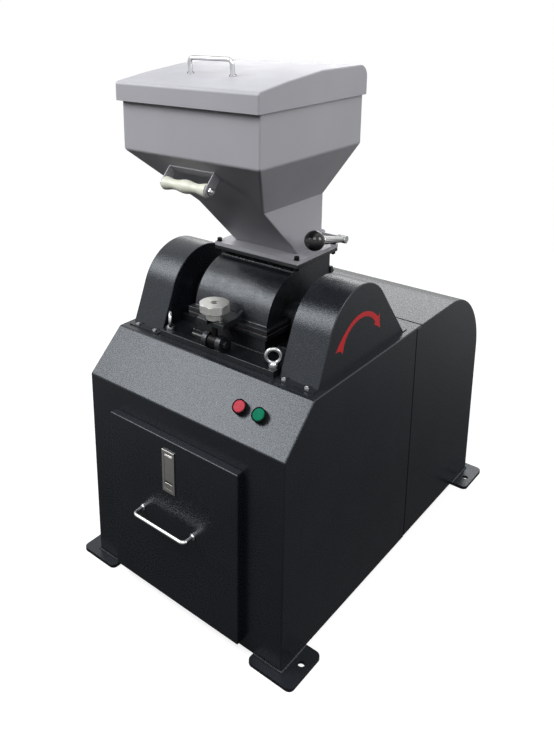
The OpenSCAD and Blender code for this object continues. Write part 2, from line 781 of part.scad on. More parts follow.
module guard() {
    difference() {
        union() {
            along_x([guard_in, guard_out]) guard_outline(0, deck_h);
            block([guard_in, guard_out], [guard_f[0] - guard_foot, guard_f[0] + 4],
                [deck_h, deck_h + guard_t]);
            block([guard_in, guard_out], [guard_b[0] - 4, guard_b[0] + guard_foot],
                [deck_h, deck_h + guard_t]);
        }
        along_x([guard_in + guard_t, guard_out - guard_t]) guard_outline(guard_t, deck_h - over);
        // Slot that lets the guard drop over the shaft
        along_x([guard_in - over, guard_in + guard_t + over]) {
            translate([axis_y, axis_z]) circle(shaft_d / 2 + 4);
            translate([axis_y - shaft_d / 2 - 4, deck_h - over])
                square([shaft_d + 8, axis_z - deck_h + over]);
        }
    }
}
module right_guard() {
    color([0.16, 0.16, 0.17]) guard();
}
module left_guard() {
    color([0.16, 0.16, 0.17]) mirror([1, 0, 0]) guard();
}

// ---- lifting eyes ----
lift_ring_r = 14;
lift_rod = 8;
module lifting_eyes() {
    color([0.85, 0.85, 0.86]) for (i = [0, 1])
        translate([lift_eye_x[i], lift_eye_y, plate_z]) rotate([0, 0, i == 0 ? -48 : 38]) {
            cylinder(d = 20, h = 6);
            translate([0, 0, 6]) cylinder(d1 = 15, d2 = 10, h = 4);
            translate([0, 0, 8 + lift_ring_r]) rotate([90, 0, 0])
                rotate_extrude() translate([lift_ring_r, 0]) circle(d = lift_rod, $fn = 32);
            translate([0, 0, -plate_t]) cylinder(d = lift_shank, h = plate_t);
        }
}

// ---- buttons ----
barrel_d = 22;
stem_d = 16;
module button_bezels() {
    color([0.05, 0.05, 0.05]) for (i = [0, 1]) on_slope(stop_x + i * button_pitch, button_s)
        difference() {
            union() {
                cylinder(d1 = bezel_d, d2 = bezel_d - 2, h = bezel_h);
                translate([0, 0, -24]) cylinder(d = barrel_d, h = 24);
                translate([-15, -20, -60]) cube([30, 40, 36]);
            }
            translate([0, 0, -22]) cylinder(d = stem_d + 2 * run_gap, h = 24);
            translate([0, 0, bezel_h - 5]) cylinder(d = cap_d + 0.8, h = 6);
        }
}
module button_cap() {
    translate([0, 0, bezel_h - 5 + button_travel + 0.3]) {
        cylinder(d = cap_d, h = 5);
        translate([0, 0, 5]) cylinder(d1 = cap_d, d2 = cap_d - 2.5, h = 1.2);
    }
    translate([0, 0, -15]) cylinder(d = stem_d, h = 15 + bezel_h - 4 + button_travel);
}
module stop_button() {
    color([0.8, 0.12, 0.16]) on_slope(stop_x, button_s) button_cap();
}
module start_button() {
    color([0.02, 0.42, 0.28]) on_slope(stop_x + button_pitch, button_s) button_cap();
}

// ---- motor and drive ----
motor_y = fy(motor_d);
motor_z = floor_z + floor_t + motor_plate_t + motor_h;
motor_x = [drive_x - pulley_w / 2 - 22 - motor_l, drive_x - pulley_w / 2 - 22];
motor_shaft_d = 28;
module motor() {
    body_x = [motor_x[0] + 60, motor_x[1] - 20];
    color([0.35, 0.4, 0.45]) difference() {
        union() {
            rod_x([motor_x[0], motor_x[0] + 60], motor_y, motor_z, 2 * motor_r + 6);
            rod_x([body_x[0], body_x[1]], motor_y, motor_z, 2 * motor_r - 14);
            rod_x([motor_x[1] - 20, motor_x[1]], motor_y, motor_z, 2 * motor_r);
            // Cooling fins
            for (a = [-50:20:230]) translate([body_x[0], motor_y, motor_z]) rotate([a, 0, 0])
                translate([0, motor_r - 9, -1.5]) cube([body_x[1] - body_x[0], 8, 3]);
            // Feet and terminal box
            for (x = [body_x[0] + 20, body_x[1] - 60])
                block([x, x + 40], [motor_y - 95, motor_y + 95], [motor_z - motor_h, motor_z - motor_h + 12]);
            for (s = [-1, 1]) block([body_x[0] + 20, body_x[1] - 20],
                [motor_y + s * 70 - 8, motor_y + s * 70 + 8], [motor_z - motor_h, motor_z - 30]);
            block([body_x[0] + 60, body_x[0] + 160], [motor_y - 55, motor_y + 55],
                [motor_z + motor_r - 20, motor_z + motor_r + 48]);
        }
        rod_x([motor_x[1] - 60, motor_x[1] + over], motor_y, motor_z, motor_shaft_d + 2 * run_gap);
    }
}
module motor_shaft() {
    color([0.7, 0.7, 0.72])
        rod_x([motor_x[1] - 59, drive_x + pulley_w / 2 + 4], motor_y, motor_z, motor_shaft_d);
}
groove_w = belt_w + 0.8;
module pulley(r, bore) {
    rotate([0, 90, 0]) rotate_extrude($fn = 96) difference() {
        union() {
            translate([bore / 2, -pulley_w / 2]) square([14, pulley_w]);
            translate([bore / 2, -5]) square([r - 14 - bore / 2, 10]);
            translate([r - 20, -pulley_w / 2]) square([20, pulley_w]);
        }
        for (s = [-1, 1]) translate([0, s * belt_pitch / 2])
            polygon([[r - belt_h - 2, -groove_w / 2], [r + over, -groove_w / 2 - 3.4],
                [r + over, groove_w / 2 + 3.4], [r - belt_h - 2, groove_w / 2]]);
    }
}
module rotor_pulley() {
    color([0.3, 0.3, 0.32]) translate([drive_x, axis_y, axis_z]) pulley(rotor_pulley_r, shaft_d);
}
module motor_pulley() {
    color([0.3, 0.3, 0.32]) translate([drive_x, motor_y, motor_z]) pulley(motor_pulley_r, motor_shaft_d);
}
// Outline of a belt loop round both pulleys, at height h over the groove floor
belt_dir = atan2(motor_z - axis_z, motor_y - axis_y);
belt_span = norm([motor_y - axis_y, motor_z - axis_z]);
belt_tilt = asin((motor_pulley_r - rotor_pulley_r) / belt_span);
function belt_pt(c, r, s) =
    c + r * [cos(belt_dir + s * (90 + belt_tilt)), sin(belt_dir + s * (90 + belt_tilt))];
module belt_outline(h) {
    ra = rotor_pulley_r - belt_h - 1.5 + h;
    rb = motor_pulley_r - belt_h - 1.5 + h;
    ca = [axis_y, axis_z];
    cb = [motor_y, motor_z];
    translate(ca) circle(ra, $fn = 96);
    translate(cb) circle(rb, $fn = 96);
    polygon([belt_pt(ca, ra, 1), belt_pt(cb, rb, 1), belt_pt(cb, rb, -1), belt_pt(ca, ra, -1)]);
}
module drive_belts() {
    color([0.08, 0.08, 0.08]) for (s = [-1, 1])
        along_x([drive_x + s * belt_pitch / 2 - belt_w / 2, drive_x + s * belt_pitch / 2 + belt_w / 2])
            difference() {
                belt_outline(belt_h);
                belt_outline(0);
            }
}
module flywheel() {
    color([0.3, 0.3, 0.32]) translate([-drive_x, axis_y, axis_z]) rotate([0, 90, 0])
        rotate_extrude($fn = 96) {
            translate([shaft_d / 2, -flywheel_hub_w / 2]) square([flywheel_hub_t, flywheel_hub_w]);
            translate([shaft_d / 2, -flywheel_web / 2]) square([flywheel_r - shaft_d / 2, flywheel_web]);
            translate([flywheel_r - flywheel_rim, -flywheel_w / 2]) square([flywheel_rim, flywheel_w]);
        }
}

// ---- rotor ----
module rotor_shaft() {
    color([0.72, 0.72, 0.74])
        rod_x([-drive_x - pulley_w / 2 - 4, drive_x + pulley_w / 2 + 4], axis_y, axis_z, shaft_d);
}
disc_x0 = -(disc_n - 1) / 2 * disc_pitch;
hub_d = shaft_d + 4;
module rotor_discs() {
    color([0.5, 0.5, 0.52]) difference() {
        union() {
            for (i = [0:disc_n - 1])
                rod_x(mid(disc_x0 + i * disc_pitch, disc_t), axis_y, axis_z, 2 * disc_r);
            rod_x([disc_x0, -disc_x0], axis_y, axis_z, hub_d);
        }
        rod_x([-drum_hw, drum_hw], axis_y, axis_z, shaft_d);
        for (k = [0:3]) rod_x([-drum_hw, drum_hw], pin_at(k)[0], pin_at(k)[1], pin_d);
    }
}
function pin_at(k) = [axis_y + pin_r * cos(45 + 90 * k), axis_z + pin_r * sin(45 + 90 * k)];
module hammer_pins() {
    color([0.65, 0.65, 0.67]) for (k = [0:3])
        rod_x([disc_x0 - disc_t / 2 - 2, -disc_x0 + disc_t / 2 + 2], pin_at(k)[0], pin_at(k)[1], pin_d);
}
// Row of hammers that hang from pin k, one between each two discs
module hammer_row(k) {
    shift = (k % 2 == 0 ? -1 : 1) * 6;
    p = pin_at(k);
    color([0.55, 0.56, 0.58]) for (i = [0:disc_n - 2]) difference() {
        along_x(mid(disc_x0 + (i + 0.5) * disc_pitch + shift, hammer_t)) {
            translate(p) circle(hammer_w / 2);
            translate([p[0] - hammer_w / 2, p[1] - hammer_l]) square([hammer_w, hammer_l]);
        }
        rod_x([-drum_hw, drum_hw], p[0], p[1], pin_d + 2 * run_gap);
    }
}
module hammers_1() { hammer_row(0); }
module hammers_2() { hammer_row(1); }
module hammers_3() { hammer_row(2); }
module hammers_4() { hammer_row(3); }

// ---- upper casing ----
upper_low = axis_z + gasket_t / 2;
throat_f = axis_y - throat_front;
throat_top = hop_flange_z - hop_flange_t;
// Side outline of the casing: round at the front, upright at the rear
module casing_outline(t) {
    intersection() {
        union() {
            translate([axis_y, axis_z]) circle(drum_r - t, $fn = 96);
            translate([throat_f + t, axis_z])
                square([casing_b - throat_f - 2 * t, throat_top - axis_z + over]);
        }
        translate([casing_f - over, upper_low - (t > 0 ? over : 0)])
            square([3 * drum_r, throat_top - upper_low + (t > 0 ? 2 * over : 0)]);
    }
}
module upper_casing() {
    color([0.12, 0.12, 0.13]) difference() {
        union() {
            difference() {
                union() {
                    along_x([-drum_hw, drum_hw]) casing_outline(0);
                    flange_ring([upper_low, upper_low + flange_t]);
                    // Flange of the feed throat
                    block([-hop_flange_hw, hop_flange_hw], [fy(hop_flange_y0), fy(hop_flange_y1)],
                        [throat_top - hop_flange_t, throat_top]);
                }
                along_x([drum_t - drum_hw, drum_hw - drum_t]) casing_outline(drum_t);
            }
            both_sides() half_collar(1);
            // Sloped guide that turns the feed towards the rotor
            along_x([drum_t - drum_hw, drum_hw - drum_t])
                polygon([[casing_b - drum_t, axis_z + 60], [casing_b - drum_t, axis_z + 12],
                    [axis_y + drum_r - drum_t, axis_z + 12]]);
        }
        rod_x([-2 * drum_hw, 2 * drum_hw], axis_y, axis_z, collar_bore);
        for (x = [-1, 1], y = flange_bolt_y)
            translate([x * flange_bolt_x, y, throat_top - hop_flange_t - over])
                cylinder(d = flange_bolt_d, h = hop_flange_t + 2 * over);
    }
}
module casing_gasket() {
    color([0.2, 0.12, 0.1]) difference() {
        flange_ring([axis_z - gasket_t / 2, upper_low]);
        block([-2 * drum_hw, 2 * drum_hw], [axis_y - collar_r - 2, axis_y + collar_r + 2],
            [axis_z - gasket_t, upper_low + over]);
    }
}
yoke_top = upper_low + flange_t + yoke_t;
module clamp_yoke() {
    y0 = pivot_y - bolt_d / 2 - 9;
    y1 = axis_y - sqrt(drum_r * drum_r - pow(yoke_top - axis_z, 2));
    color([0.12, 0.12, 0.13]) difference() {
        union() {
            block([-yoke_hw, yoke_hw], [pivot_y, y1], [upper_low + flange_t, yoke_top]);
            // The front is crowned about the pivot, so that the knob swings clear
            intersection() {
                block([-yoke_hw, yoke_hw], [y0, pivot_y], [upper_low + flange_t, yoke_top]);
                rod_x([-yoke_hw, yoke_hw], pivot_y, pivot_z, 2 * (yoke_top - pivot_z));
            }
            // Cheeks that brace the yoke against the drum
            for (s = [-1, 1]) along_x(mid(s * (yoke_hw - 4), 8))
                polygon([[pivot_y + boss_d / 2 + 4, yoke_top - 2], [y1, yoke_top - 2],
                    [y1 + 12, yoke_top + 10], [y1 + 1, yoke_top + 8]]);
        }
        rod_x([-drum_hw, drum_hw], axis_y, axis_z, 2 * drum_r);
        block(mid(0, bolt_d + 2), [y0 - over, pivot_y], [axis_z, yoke_top + over]);
        translate([0, pivot_y, axis_z]) cylinder(d = bolt_d + 2, h = 2 * yoke_t + flange_t);
    }
}

// ---- swing bolt and knob ----
knob_z = yoke_top + rest_gap;
knob_top = knob_z + boss_h + knob_h;
module swing_bolt() {
    color([0.6, 0.6, 0.62]) translate([0, pivot_y, pivot_z]) {
        difference() {
            union() {
                rod_x([-eye_w / 2, eye_w / 2], 0, 0, 2 * lug_r - 6);
                cylinder(d = bolt_d, h = knob_top - pivot_z - 3);
            }
            rod_x([-eye_w, eye_w], 0, 0, clamp_pin_d + 2 * run_gap);
        }
    }
}
module clamp_knob() {
    color([0.78, 0.78, 0.77]) translate([0, pivot_y, knob_z]) difference() {
        union() {
            cylinder(d1 = boss_d - 2, d2 = boss_d, h = boss_h);
            translate([0, 0, boss_h]) intersection() {
                rotate([0, 0, 22.5]) cylinder(d = knob_w / cos(22.5), h = knob_h, $fn = 8);
                union() {
                    cylinder(d1 = knob_w - 2, d2 = knob_w + 8, h = 5);
                    translate([0, 0, 5]) cylinder(d = knob_w + 8, h = knob_h - 8);
                    translate([0, 0, knob_h - 3]) cylinder(d1 = knob_w + 8, d2 = knob_w, h = 3);
                }
            }
        }
        translate([0, 0, -over]) cylinder(d = bolt_d + 2 * run_gap, h = boss_h + knob_h + 2 * over);
        translate([0, 0, boss_h + knob_h - 4]) cylinder(d = bolt_d + 4, h = 4 + over);
    }
}

// ---- hopper ----
flange_bolt_d = 6;
flange_bolt_x = hop_flange_hw - flange_bolt_in;
flange_bolt_y = [fy(hop_flange_y0) + flange_bolt_in, fy(hop_flange_y1) - flange_bolt_in];
flap_y = fy(box_y1) - flap_in;
flap_z = hop_flange_z + flap_up;
// Side and front outlines of the hopper, drawn in by t and drawn out at both ends by e
module hopper_side(t, e) {
    offset(delta = -t) polygon([[fy(box_y0), rim_z + e], [fy(box_y0), box_z0],
        [fy(neck_y0), hop_flange_z], [fy(neck_y0), hop_flange_z - hop_flange_t - e],
        [fy(box_y1), hop_flange_z - hop_flange_t - e], [fy(box_y1), rim_z + e]]);
}
module hopper_front(t, e) {
    offset(delta = -t) polygon([[-box_hw, rim_z + e], [-box_hw, box_z0], [-neck_hw, neck_z1],
        [-neck_hw, hop_flange_z - hop_flange_t - e], [neck_hw, hop_flange_z - hop_flange_t - e],
        [neck_hw, neck_z1], [box_hw, box_z0], [box_hw, rim_z + e]]);
}
module hopper_form(t, e) {
    intersection() {
        along_x([-box_hw, box_hw]) hopper_side(t, e);
        along_y([fy(box_y0), fy(box_y1)]) hopper_front(t, e);
    }
}
module hopper() {
    color([0.72, 0.72, 0.75]) difference() {
        union() {
            hopper_form(0, 0);
            block([-hop_flange_hw, hop_flange_hw], [fy(hop_flange_y0), fy(hop_flange_y1)],
                [throat_top, hop_flange_z]);
            // Bosses that carry the flap shaft
            both_sides() rod_x([neck_hw - hop_t, neck_hw + 10], flap_y, flap_z, flap_shaft_d + 10);
        }
        hopper_form(hop_t, 4 * hop_t);
        rod_x([-2 * neck_hw, 2 * neck_hw], flap_y, flap_z, flap_shaft_d + 2 * run_gap);
        for (x = [-1, 1], y = flange_bolt_y) translate([x * flange_bolt_x, y, throat_top - over])
            cylinder(d = flange_bolt_d, h = hop_flange_t + 2 * over);
    }
}
module casing_bolts() {
    color([0.1, 0.1, 0.1]) {
        for (x = [-1, 1], y = flange_bolt_y) translate([x * flange_bolt_x, y, hop_flange_z]) {
            cylinder(d = 12, h = 1.4);
            translate([0, 0, 1.4]) socket_head(10, 6);
            translate([0, 0, -2 * hop_flange_t - 7]) cylinder(d = flange_bolt_d, h = 2 * hop_flange_t + 8);
            translate([0, 0, -2 * hop_flange_t]) mirror([0, 0, 1]) hex_head(10, 5);
        }
        both_sides() for (z = arm_bolt_z) translate([arm_x + 7, casing_b + arm_t, axis_z + z])
            rotate([-90, 0, 0]) hex_head(13, 6);
    }
}

// ---- feed flap ----
wall_run = (fy(neck_y0) - fy(box_y0)) / (box_z0 - hop_flange_z);
flap_t = 3;
flap_z1 = flap_z - flap_shaft_d / 2;
// Inner face of the sloped front wall at the height of the flap's underside
flap_wall_y = fy(neck_y0) - wall_run * (flap_z1 - flap_t - hop_flange_z) + hop_t * norm([1, wall_run]);
flap_side = 2;
module feed_flap() {
    color([0.7, 0.7, 0.72]) block(mid(0, 2 * (neck_hw - hop_t - flap_side)),
        [flap_wall_y + flap_side, flap_y + 3], [flap_z1 - flap_t, flap_z1]);
}
module flap_shaft() {
    color([0.55, 0.55, 0.57])
        rod_x([-neck_hw - 14, lever_x + lever_hub_w / 2], flap_y, flap_z, flap_shaft_d);
}
lever_hub_w = 20;
module at_lever() {
    translate([lever_x, flap_y, flap_z]) rotate([90 - lever_a, 0, 0]) children();
}
module flap_lever() {
    color([0.82, 0.83, 0.83]) difference() {
        union() {
            rod_x([lever_x - lever_hub_w / 2, lever_x + lever_hub_w / 2 - 0.5], flap_y, flap_z,
                flap_shaft_d + 9);
            at_lever() {
                cylinder(d1 = 18, d2 = 13, h = lever_l - ball_d / 2 - 10);
                translate([0, 0, lever_l - ball_d / 2 - 10]) cylinder(d = 14, h = 4);
                translate([0, 0, lever_l - ball_d / 2 - 6]) cylinder(d = 10, h = 6 + ball_d / 2);
            }
        }
        rod_x([0, 2 * lever_x], flap_y, flap_z, flap_shaft_d);
    }
}
module lever_ball() {
    color([0.03, 0.03, 0.03]) at_lever() translate([0, 0, lever_l]) difference() {
        sphere(d = ball_d);
        translate([0, 0, -ball_d]) cylinder(d = 10, h = ball_d + 0.1);
        translate([0, 0, -ball_d]) cylinder(d = ball_d, h = ball_d * 0.54);
    }
}

// ---- lid ----
lid_hw = box_hw + lid_gap + lid_t;
lid_y = [fy(box_y0) - lid_gap - lid_t - 6, fy(box_y1) + lid_gap + lid_t];
lid_z0 = rim_z - lid_drop;
lid_z1 = rim_z + lid_t + rest_gap;
module lid_outline(t, e) {
    offset(delta = -t) {
        polygon([[lid_y[0], lid_z0 - e], [lid_y[0], lid_z1 - 2], [lid_y[0] + 4, lid_z1 + 2],
            [lid_y[0] + lid_level_d * 0.43, lid_z1 + lid_rise * 0.55],
            [lid_y[0] + lid_level_d, lid_z1 + lid_rise], [lid_y[1] - lid_r, lid_z1 + lid_rise],
            [lid_y[1], lid_z1 + lid_rise - lid_r], [lid_y[1], lid_z0 - e]]);
        translate([lid_y[1] - lid_r, lid_z1 + lid_rise - lid_r]) circle(lid_r);
    }
}
module hopper_lid() {
    color([0.8, 0.8, 0.82]) difference() {
        along_x([-lid_hw, lid_hw]) lid_outline(0, 0);
        along_x([lid_t - lid_hw, lid_hw - lid_t]) lid_outline(lid_t, 4 * lid_t);
    }
}
lid_slope_a = atan2(lid_rise * 0.45, lid_level_d * 0.57);
lid_handle_y = lid_y[0] + lid_handle_d;
lid_handle_z = lid_z1 + lid_rise * 0.55 + (lid_handle_d - lid_level_d * 0.43) * tan(lid_slope_a);
module lid_handle() {
    color([0.85, 0.85, 0.87]) translate([lid_handle_x, lid_handle_y, lid_handle_z])
        rotate([lid_slope_a, 0, 0]) rod_handle(lid_handle_cc, lid_handle_h, rod_d, 9);
}
lid_handle_x = -6;
// Lid hinges: a base on the hopper with its pin, and two knuckles on the lid
lid_pin_y = lid_y[1] + 7;
lid_pin_z = lid_z0 - 7;
lid_hinge_x = 105;
module lid_hinge_bases() {
    color([0.7, 0.7, 0.72]) both_sides() {
        along_x([lid_hinge_x - 12, lid_hinge_x + 12]) {
            translate([lid_pin_y, lid_pin_z]) circle(5);
            translate([fy(box_y1), lid_pin_z - 16]) square([3, 21]);
            polygon([[fy(box_y1), lid_pin_z - 16], [fy(box_y1), lid_pin_z + 3],
                [lid_pin_y, lid_pin_z + 3], [lid_pin_y + 4, lid_pin_z - 3],
                [fy(box_y1) + 3, lid_pin_z - 16]]);
        }
        rod_x(mid(lid_hinge_x, lid_hinge_w + 3), lid_pin_y, lid_pin_z, 5);
    }
}
module lid_hinge_leaves() {
    color([0.7, 0.7, 0.72]) both_sides() difference() {
        for (s = [-1, 1]) along_x(mid(lid_hinge_x + s * (lid_hinge_w - leaf_w) / 2, leaf_w)) {
            translate([lid_pin_y, lid_pin_z]) circle(5);
            polygon([[lid_y[1], lid_z0 + 24], [lid_y[1], lid_z0 + 1], [lid_pin_y - 4.5, lid_pin_z],
                [lid_pin_y + 4.5, lid_pin_z], [lid_y[1] + 3, lid_z0 + 6], [lid_y[1] + 3, lid_z0 + 24]]);
        }
        rod_x([lid_hinge_x - 40, lid_hinge_x + 40], lid_pin_y, lid_pin_z, 5 + 2 * run_gap);
    }
}

// ---- tipping grip ----
wall_a = atan2(box_z0 - hop_flange_z, fy(neck_y0) - fy(box_y0));
// Local frame on the sloping wall: X along the wall's width, Z out of the wall
module on_wall() {
    translate([grip_x, fy(box_y0) + (box_z0 - grip_z) * wall_run, grip_z])
        rotate([180 - wall_a, 0, 0]) children();
}
grip_axis_s = strip_w / 2;
module grip_bracket() {
    color([0.6, 0.6, 0.62]) on_wall() difference() {
        union() {
            translate([-grip_w / 2, 0, 0]) cube([grip_w, strip_w, strip_t]);
            for (s = [-1, 1]) translate([s * (grip_w - strip_t) / 2 - strip_t / 2, 0, 0]) {
                cube([strip_t, strip_w, grip_off]);
                translate([0, grip_axis_s, grip_off]) rotate([0, 90, 0]) cylinder(r = strip_w / 2, h = strip_t);
            }
        }
        translate([-grip_w, grip_axis_s, grip_off]) rotate([0, 90, 0])
            cylinder(d = grip_bolt_d, h = 2 * grip_w);
    }
}
grip_bolt_d = 8;
module grip_bolt() {
    color([0.65, 0.65, 0.66]) on_wall() translate([0, grip_axis_s, grip_off]) {
        translate([-grip_w / 2 - 4, 0, 0]) rotate([0, 90, 0]) cylinder(d = grip_bolt_d, h = grip_w + 8);
        translate([grip_w / 2, 0, 0]) rotate([0, 90, 0]) hex_head(13, 6.5);
        translate([grip_w / 2 + 6.5, 0, 0]) rotate([0, 90, 0]) cylinder(d1 = 10, d2 = 7, h = 3.5);
        translate([-grip_w / 2, 0, 0]) rotate([0, -90, 0]) hex_head(13, 5);
    }
}
grip_l = grip_w - 2 * strip_t - 2 * slide_gap;
// Radius of the grip along its length: full at the ends and middle, slim between
function grip_r(u) = 11.2 + 1.8 * cos(720 * u);
grip_steps = 24;
module grip() {
    color([0.88, 0.88, 0.83]) on_wall() translate([-grip_l / 2, grip_axis_s, grip_off]) rotate([0, 90, 0])
        rotate_extrude() polygon(concat([[grip_bolt_d / 2 + run_gap, 0]],
            [for (i = [0:grip_steps]) [grip_r(i / grip_steps), grip_l * i / grip_steps]],
            [[grip_bolt_d / 2 + run_gap, grip_l]]));
}

// ---- drawer ----
front_y = [fy(-drawer_t), fy(0) - slide_gap];
tub_z = [floor_z + floor_t + runner_t + 0.3, floor_z + floor_t + tub_h];
latch_x = drawer_x - 2;
latch_win = [latch_w - 8, latch_h - 10];
module latch_block(dx, dz, y) {
    block([latch_x - dx / 2, latch_x + dx / 2], y, [latch_z - dz / 2, latch_z + dz / 2]);
}
module drawer_front() {
    color([0.14, 0.14, 0.15]) difference() {
        block([drawer_x - drawer_w / 2, drawer_x + drawer_w / 2], front_y, [drawer_z0, drawer_z1]);
        block(mid(drawer_x, drawer_w - 2 * tub_t), [front_y[0] + tub_t, front_y[1] - tub_t],
            [drawer_z0 + tub_t, drawer_z1 - tub_t]);
        // Opening within the turned-in rear edges, and the notch for the latch hook
        block(mid(drawer_x, tub_w - 2 * return_lap), [front_y[1] - tub_t - over, front_y[1] + over],
            [tub_z[0] + return_lap, ap_z[1] - return_lap]);
        block(mid(latch_x, hook_w + 2), [front_y[1] - tub_t - over, front_y[1] + over],
            [ap_z[1] - 2 * return_lap, drawer_z1 - tub_t]);
        latch_block(latch_win[0], latch_win[1], [front_y[0] - over, front_y[0] + tub_t + over]);
    }
}
return_lap = 14;
hook_w = 14;
module drawer_tub() {
    color([0.62, 0.63, 0.64]) difference() {
        block(mid(drawer_x, tub_w), [front_y[1], fy(tub_l)], tub_z);
        block(mid(drawer_x, tub_w - 2 * tub_t), [front_y[1] + tub_t, fy(tub_l) - tub_t],
            [tub_z[0] + tub_t, tub_z[1] + over]);
    }
}
module drawer_handle() {
    color([0.85, 0.85, 0.87]) translate([drawer_x + pull_x, front_y[0], pull_z])
        rotate([90, 0, 0]) rod_handle(pull_cc, pull_h, rod_d, 10);
}

// ---- latch ----
latch_y = front_y[0];
plate_front = latch_y - 3;
pan_d = 13;
paddle_w = latch_win[0] - 4;
paddle_z = [latch_z - latch_h / 2 + 24, latch_z + latch_h / 2 - 9];
latch_pin_d = 3;
latch_pin_z = paddle_z[1] - 3;
latch_pin_y = latch_y + 1.5;
button_z = latch_z - latch_h / 2 + 14;
module latch_case() {
    color([0.62, 0.61, 0.58]) {
        difference() {
            union() {
                latch_block(latch_w, latch_h, [plate_front, latch_y]);
                latch_block(latch_win[0] - 0.5, latch_win[1] - 0.5, [latch_y, latch_y + pan_d]);
            }
            latch_block(paddle_w + 1, latch_h - 14, [plate_front - over, latch_y + pan_d - 1.5]);
        }
        rod_x([latch_x - paddle_w / 2 - 1, latch_x + paddle_w / 2 + 1], latch_pin_y, latch_pin_z, latch_pin_d);
    }
}
module latch_paddle() {
    color([0.68, 0.67, 0.64]) difference() {
        union() {
            block([latch_x - paddle_w / 2, latch_x + paddle_w / 2], [plate_front + 0.8, plate_front + 2.8],
                [paddle_z[0], paddle_z[1] - 3]);
            rod_x([latch_x - paddle_w / 2, latch_x + paddle_w / 2], latch_pin_y, latch_pin_z, latch_pin_d + 3);
            block([latch_x - paddle_w / 2, latch_x + paddle_w / 2], [plate_front + 2, latch_pin_y],
                [latch_pin_z - 3, latch_pin_z + 1]);
        }
        rod_x([0 - cab_w, cab_w], latch_pin_y, latch_pin_z, latch_pin_d + 2 * run_gap);
    }
}
module latch_button() {
    color([0.58, 0.57, 0.54]) block(mid(latch_x, paddle_w + 1 - 4 * run_gap),
        [plate_front + 0.4, latch_y + 5], mid(button_z, 12));
}
hook_t = 3;
// Hook that rises behind the aperture's upper edge
module latch_tongue() {
    ty = latch_y + pan_d + 2 * run_gap;
    color([0.5, 0.5, 0.52]) {
        block(mid(latch_x, hook_w), [ty, ty + hook_t], [latch_z, ap_z[1] - hook_t]);
        block(mid(latch_x, hook_w), [ty, fy(cab_t + 1) + hook_t], [ap_z[1] - 2 * hook_t, ap_z[1] - hook_t]);
        block(mid(latch_x, hook_w), [fy(cab_t + 1), fy(cab_t + 1) + hook_t],
            [ap_z[1] - 2 * hook_t, ap_z[1] + 8]);
    }
}

base_frame();
anchor_feet();
cabinet();
rear_cover();
cover_screws();
base_plate();
lower_casing();
sieve();
discharge_chute();
bearing_units();
base_bolts();
clamp_lug();
clamp_pin();
hinge_lugs();
hinge_pin();
left_guard();
right_guard();
lifting_eyes();
button_bezels();
motor();
drive_belts();
upper_casing();
casing_gasket();
hinge_arms();
clamp_yoke();
hopper();
casing_bolts();
lid_hinge_bases();
grip_bracket();
grip_bolt();
feed_flap();
flap_shaft();
flap_lever();
lever_ball();
hopper_lid();
lid_hinge_leaves();
lid_handle();
grip();
swing_bolt();
clamp_knob();
rotor_shaft();
rotor_discs();
hammer_pins();
rotor_pulley();
flywheel();
hammers_1();
hammers_2();
hammers_3();
hammers_4();
motor_shaft();
motor_pulley();
drawer_front();
drawer_tub();
drawer_handle();
latch_case();
latch_paddle();
latch_button();
latch_tongue();
stop_button();
start_button();
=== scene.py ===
"""Dresses the grain mill: folded and painted sheets, cast parts, bright fittings and the stage."""
import json
import math

import bmesh
import bpy
from bpy.props import FloatProperty, FloatVectorProperty, PointerProperty
from mathutils import Matrix, Vector

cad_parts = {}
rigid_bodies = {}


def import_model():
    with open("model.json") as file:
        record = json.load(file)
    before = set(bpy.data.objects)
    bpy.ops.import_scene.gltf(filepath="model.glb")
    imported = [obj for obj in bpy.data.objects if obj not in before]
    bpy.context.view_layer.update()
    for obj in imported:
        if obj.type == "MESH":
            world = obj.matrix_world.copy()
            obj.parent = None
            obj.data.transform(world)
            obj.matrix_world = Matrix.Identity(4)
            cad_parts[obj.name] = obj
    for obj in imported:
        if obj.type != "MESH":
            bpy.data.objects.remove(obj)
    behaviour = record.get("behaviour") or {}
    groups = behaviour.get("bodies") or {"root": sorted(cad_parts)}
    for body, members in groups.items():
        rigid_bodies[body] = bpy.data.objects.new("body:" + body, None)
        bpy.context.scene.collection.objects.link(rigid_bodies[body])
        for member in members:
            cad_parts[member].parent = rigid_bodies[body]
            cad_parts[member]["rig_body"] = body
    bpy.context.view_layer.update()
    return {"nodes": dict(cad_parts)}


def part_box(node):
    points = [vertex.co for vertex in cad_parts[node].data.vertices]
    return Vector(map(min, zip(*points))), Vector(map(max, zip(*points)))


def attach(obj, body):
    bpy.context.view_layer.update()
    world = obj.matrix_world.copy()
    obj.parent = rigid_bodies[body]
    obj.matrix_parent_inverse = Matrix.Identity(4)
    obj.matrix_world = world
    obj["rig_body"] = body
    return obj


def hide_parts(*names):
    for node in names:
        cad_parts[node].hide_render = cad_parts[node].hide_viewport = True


bl_info = {
    "name": "Grain mill",
    "version": (1, 0, 0),
    "blender": (4, 5, 0),
    "location": "3D View > Sidebar > Grain mill",
    "description": "Builds the finished pieces of a floor-standing grain mill round its frame",
    "category": "Object",
}

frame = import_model()
NODES = frame["nodes"]
X, Y, Z = Vector((1, 0, 0)), Vector((0, 1, 0)), Vector((0, 0, 1))


# ---- sizes read from the frame ----
def low(node):
    return Vector(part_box(node)[0])


def high(node):
    return Vector(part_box(node)[1])


def middle(node):
    return (low(node) + high(node)) / 2


# ---- settings that a user may change ----
def paint(name, text, colour):
    return FloatVectorProperty(
        name=name, description=text, subtype="COLOR", size=3, min=0, max=1, default=colour
    )


def length(name, text, metres):
    return FloatProperty(
        name=name, description=text, unit="LENGTH", subtype="DISTANCE", default=metres
    )


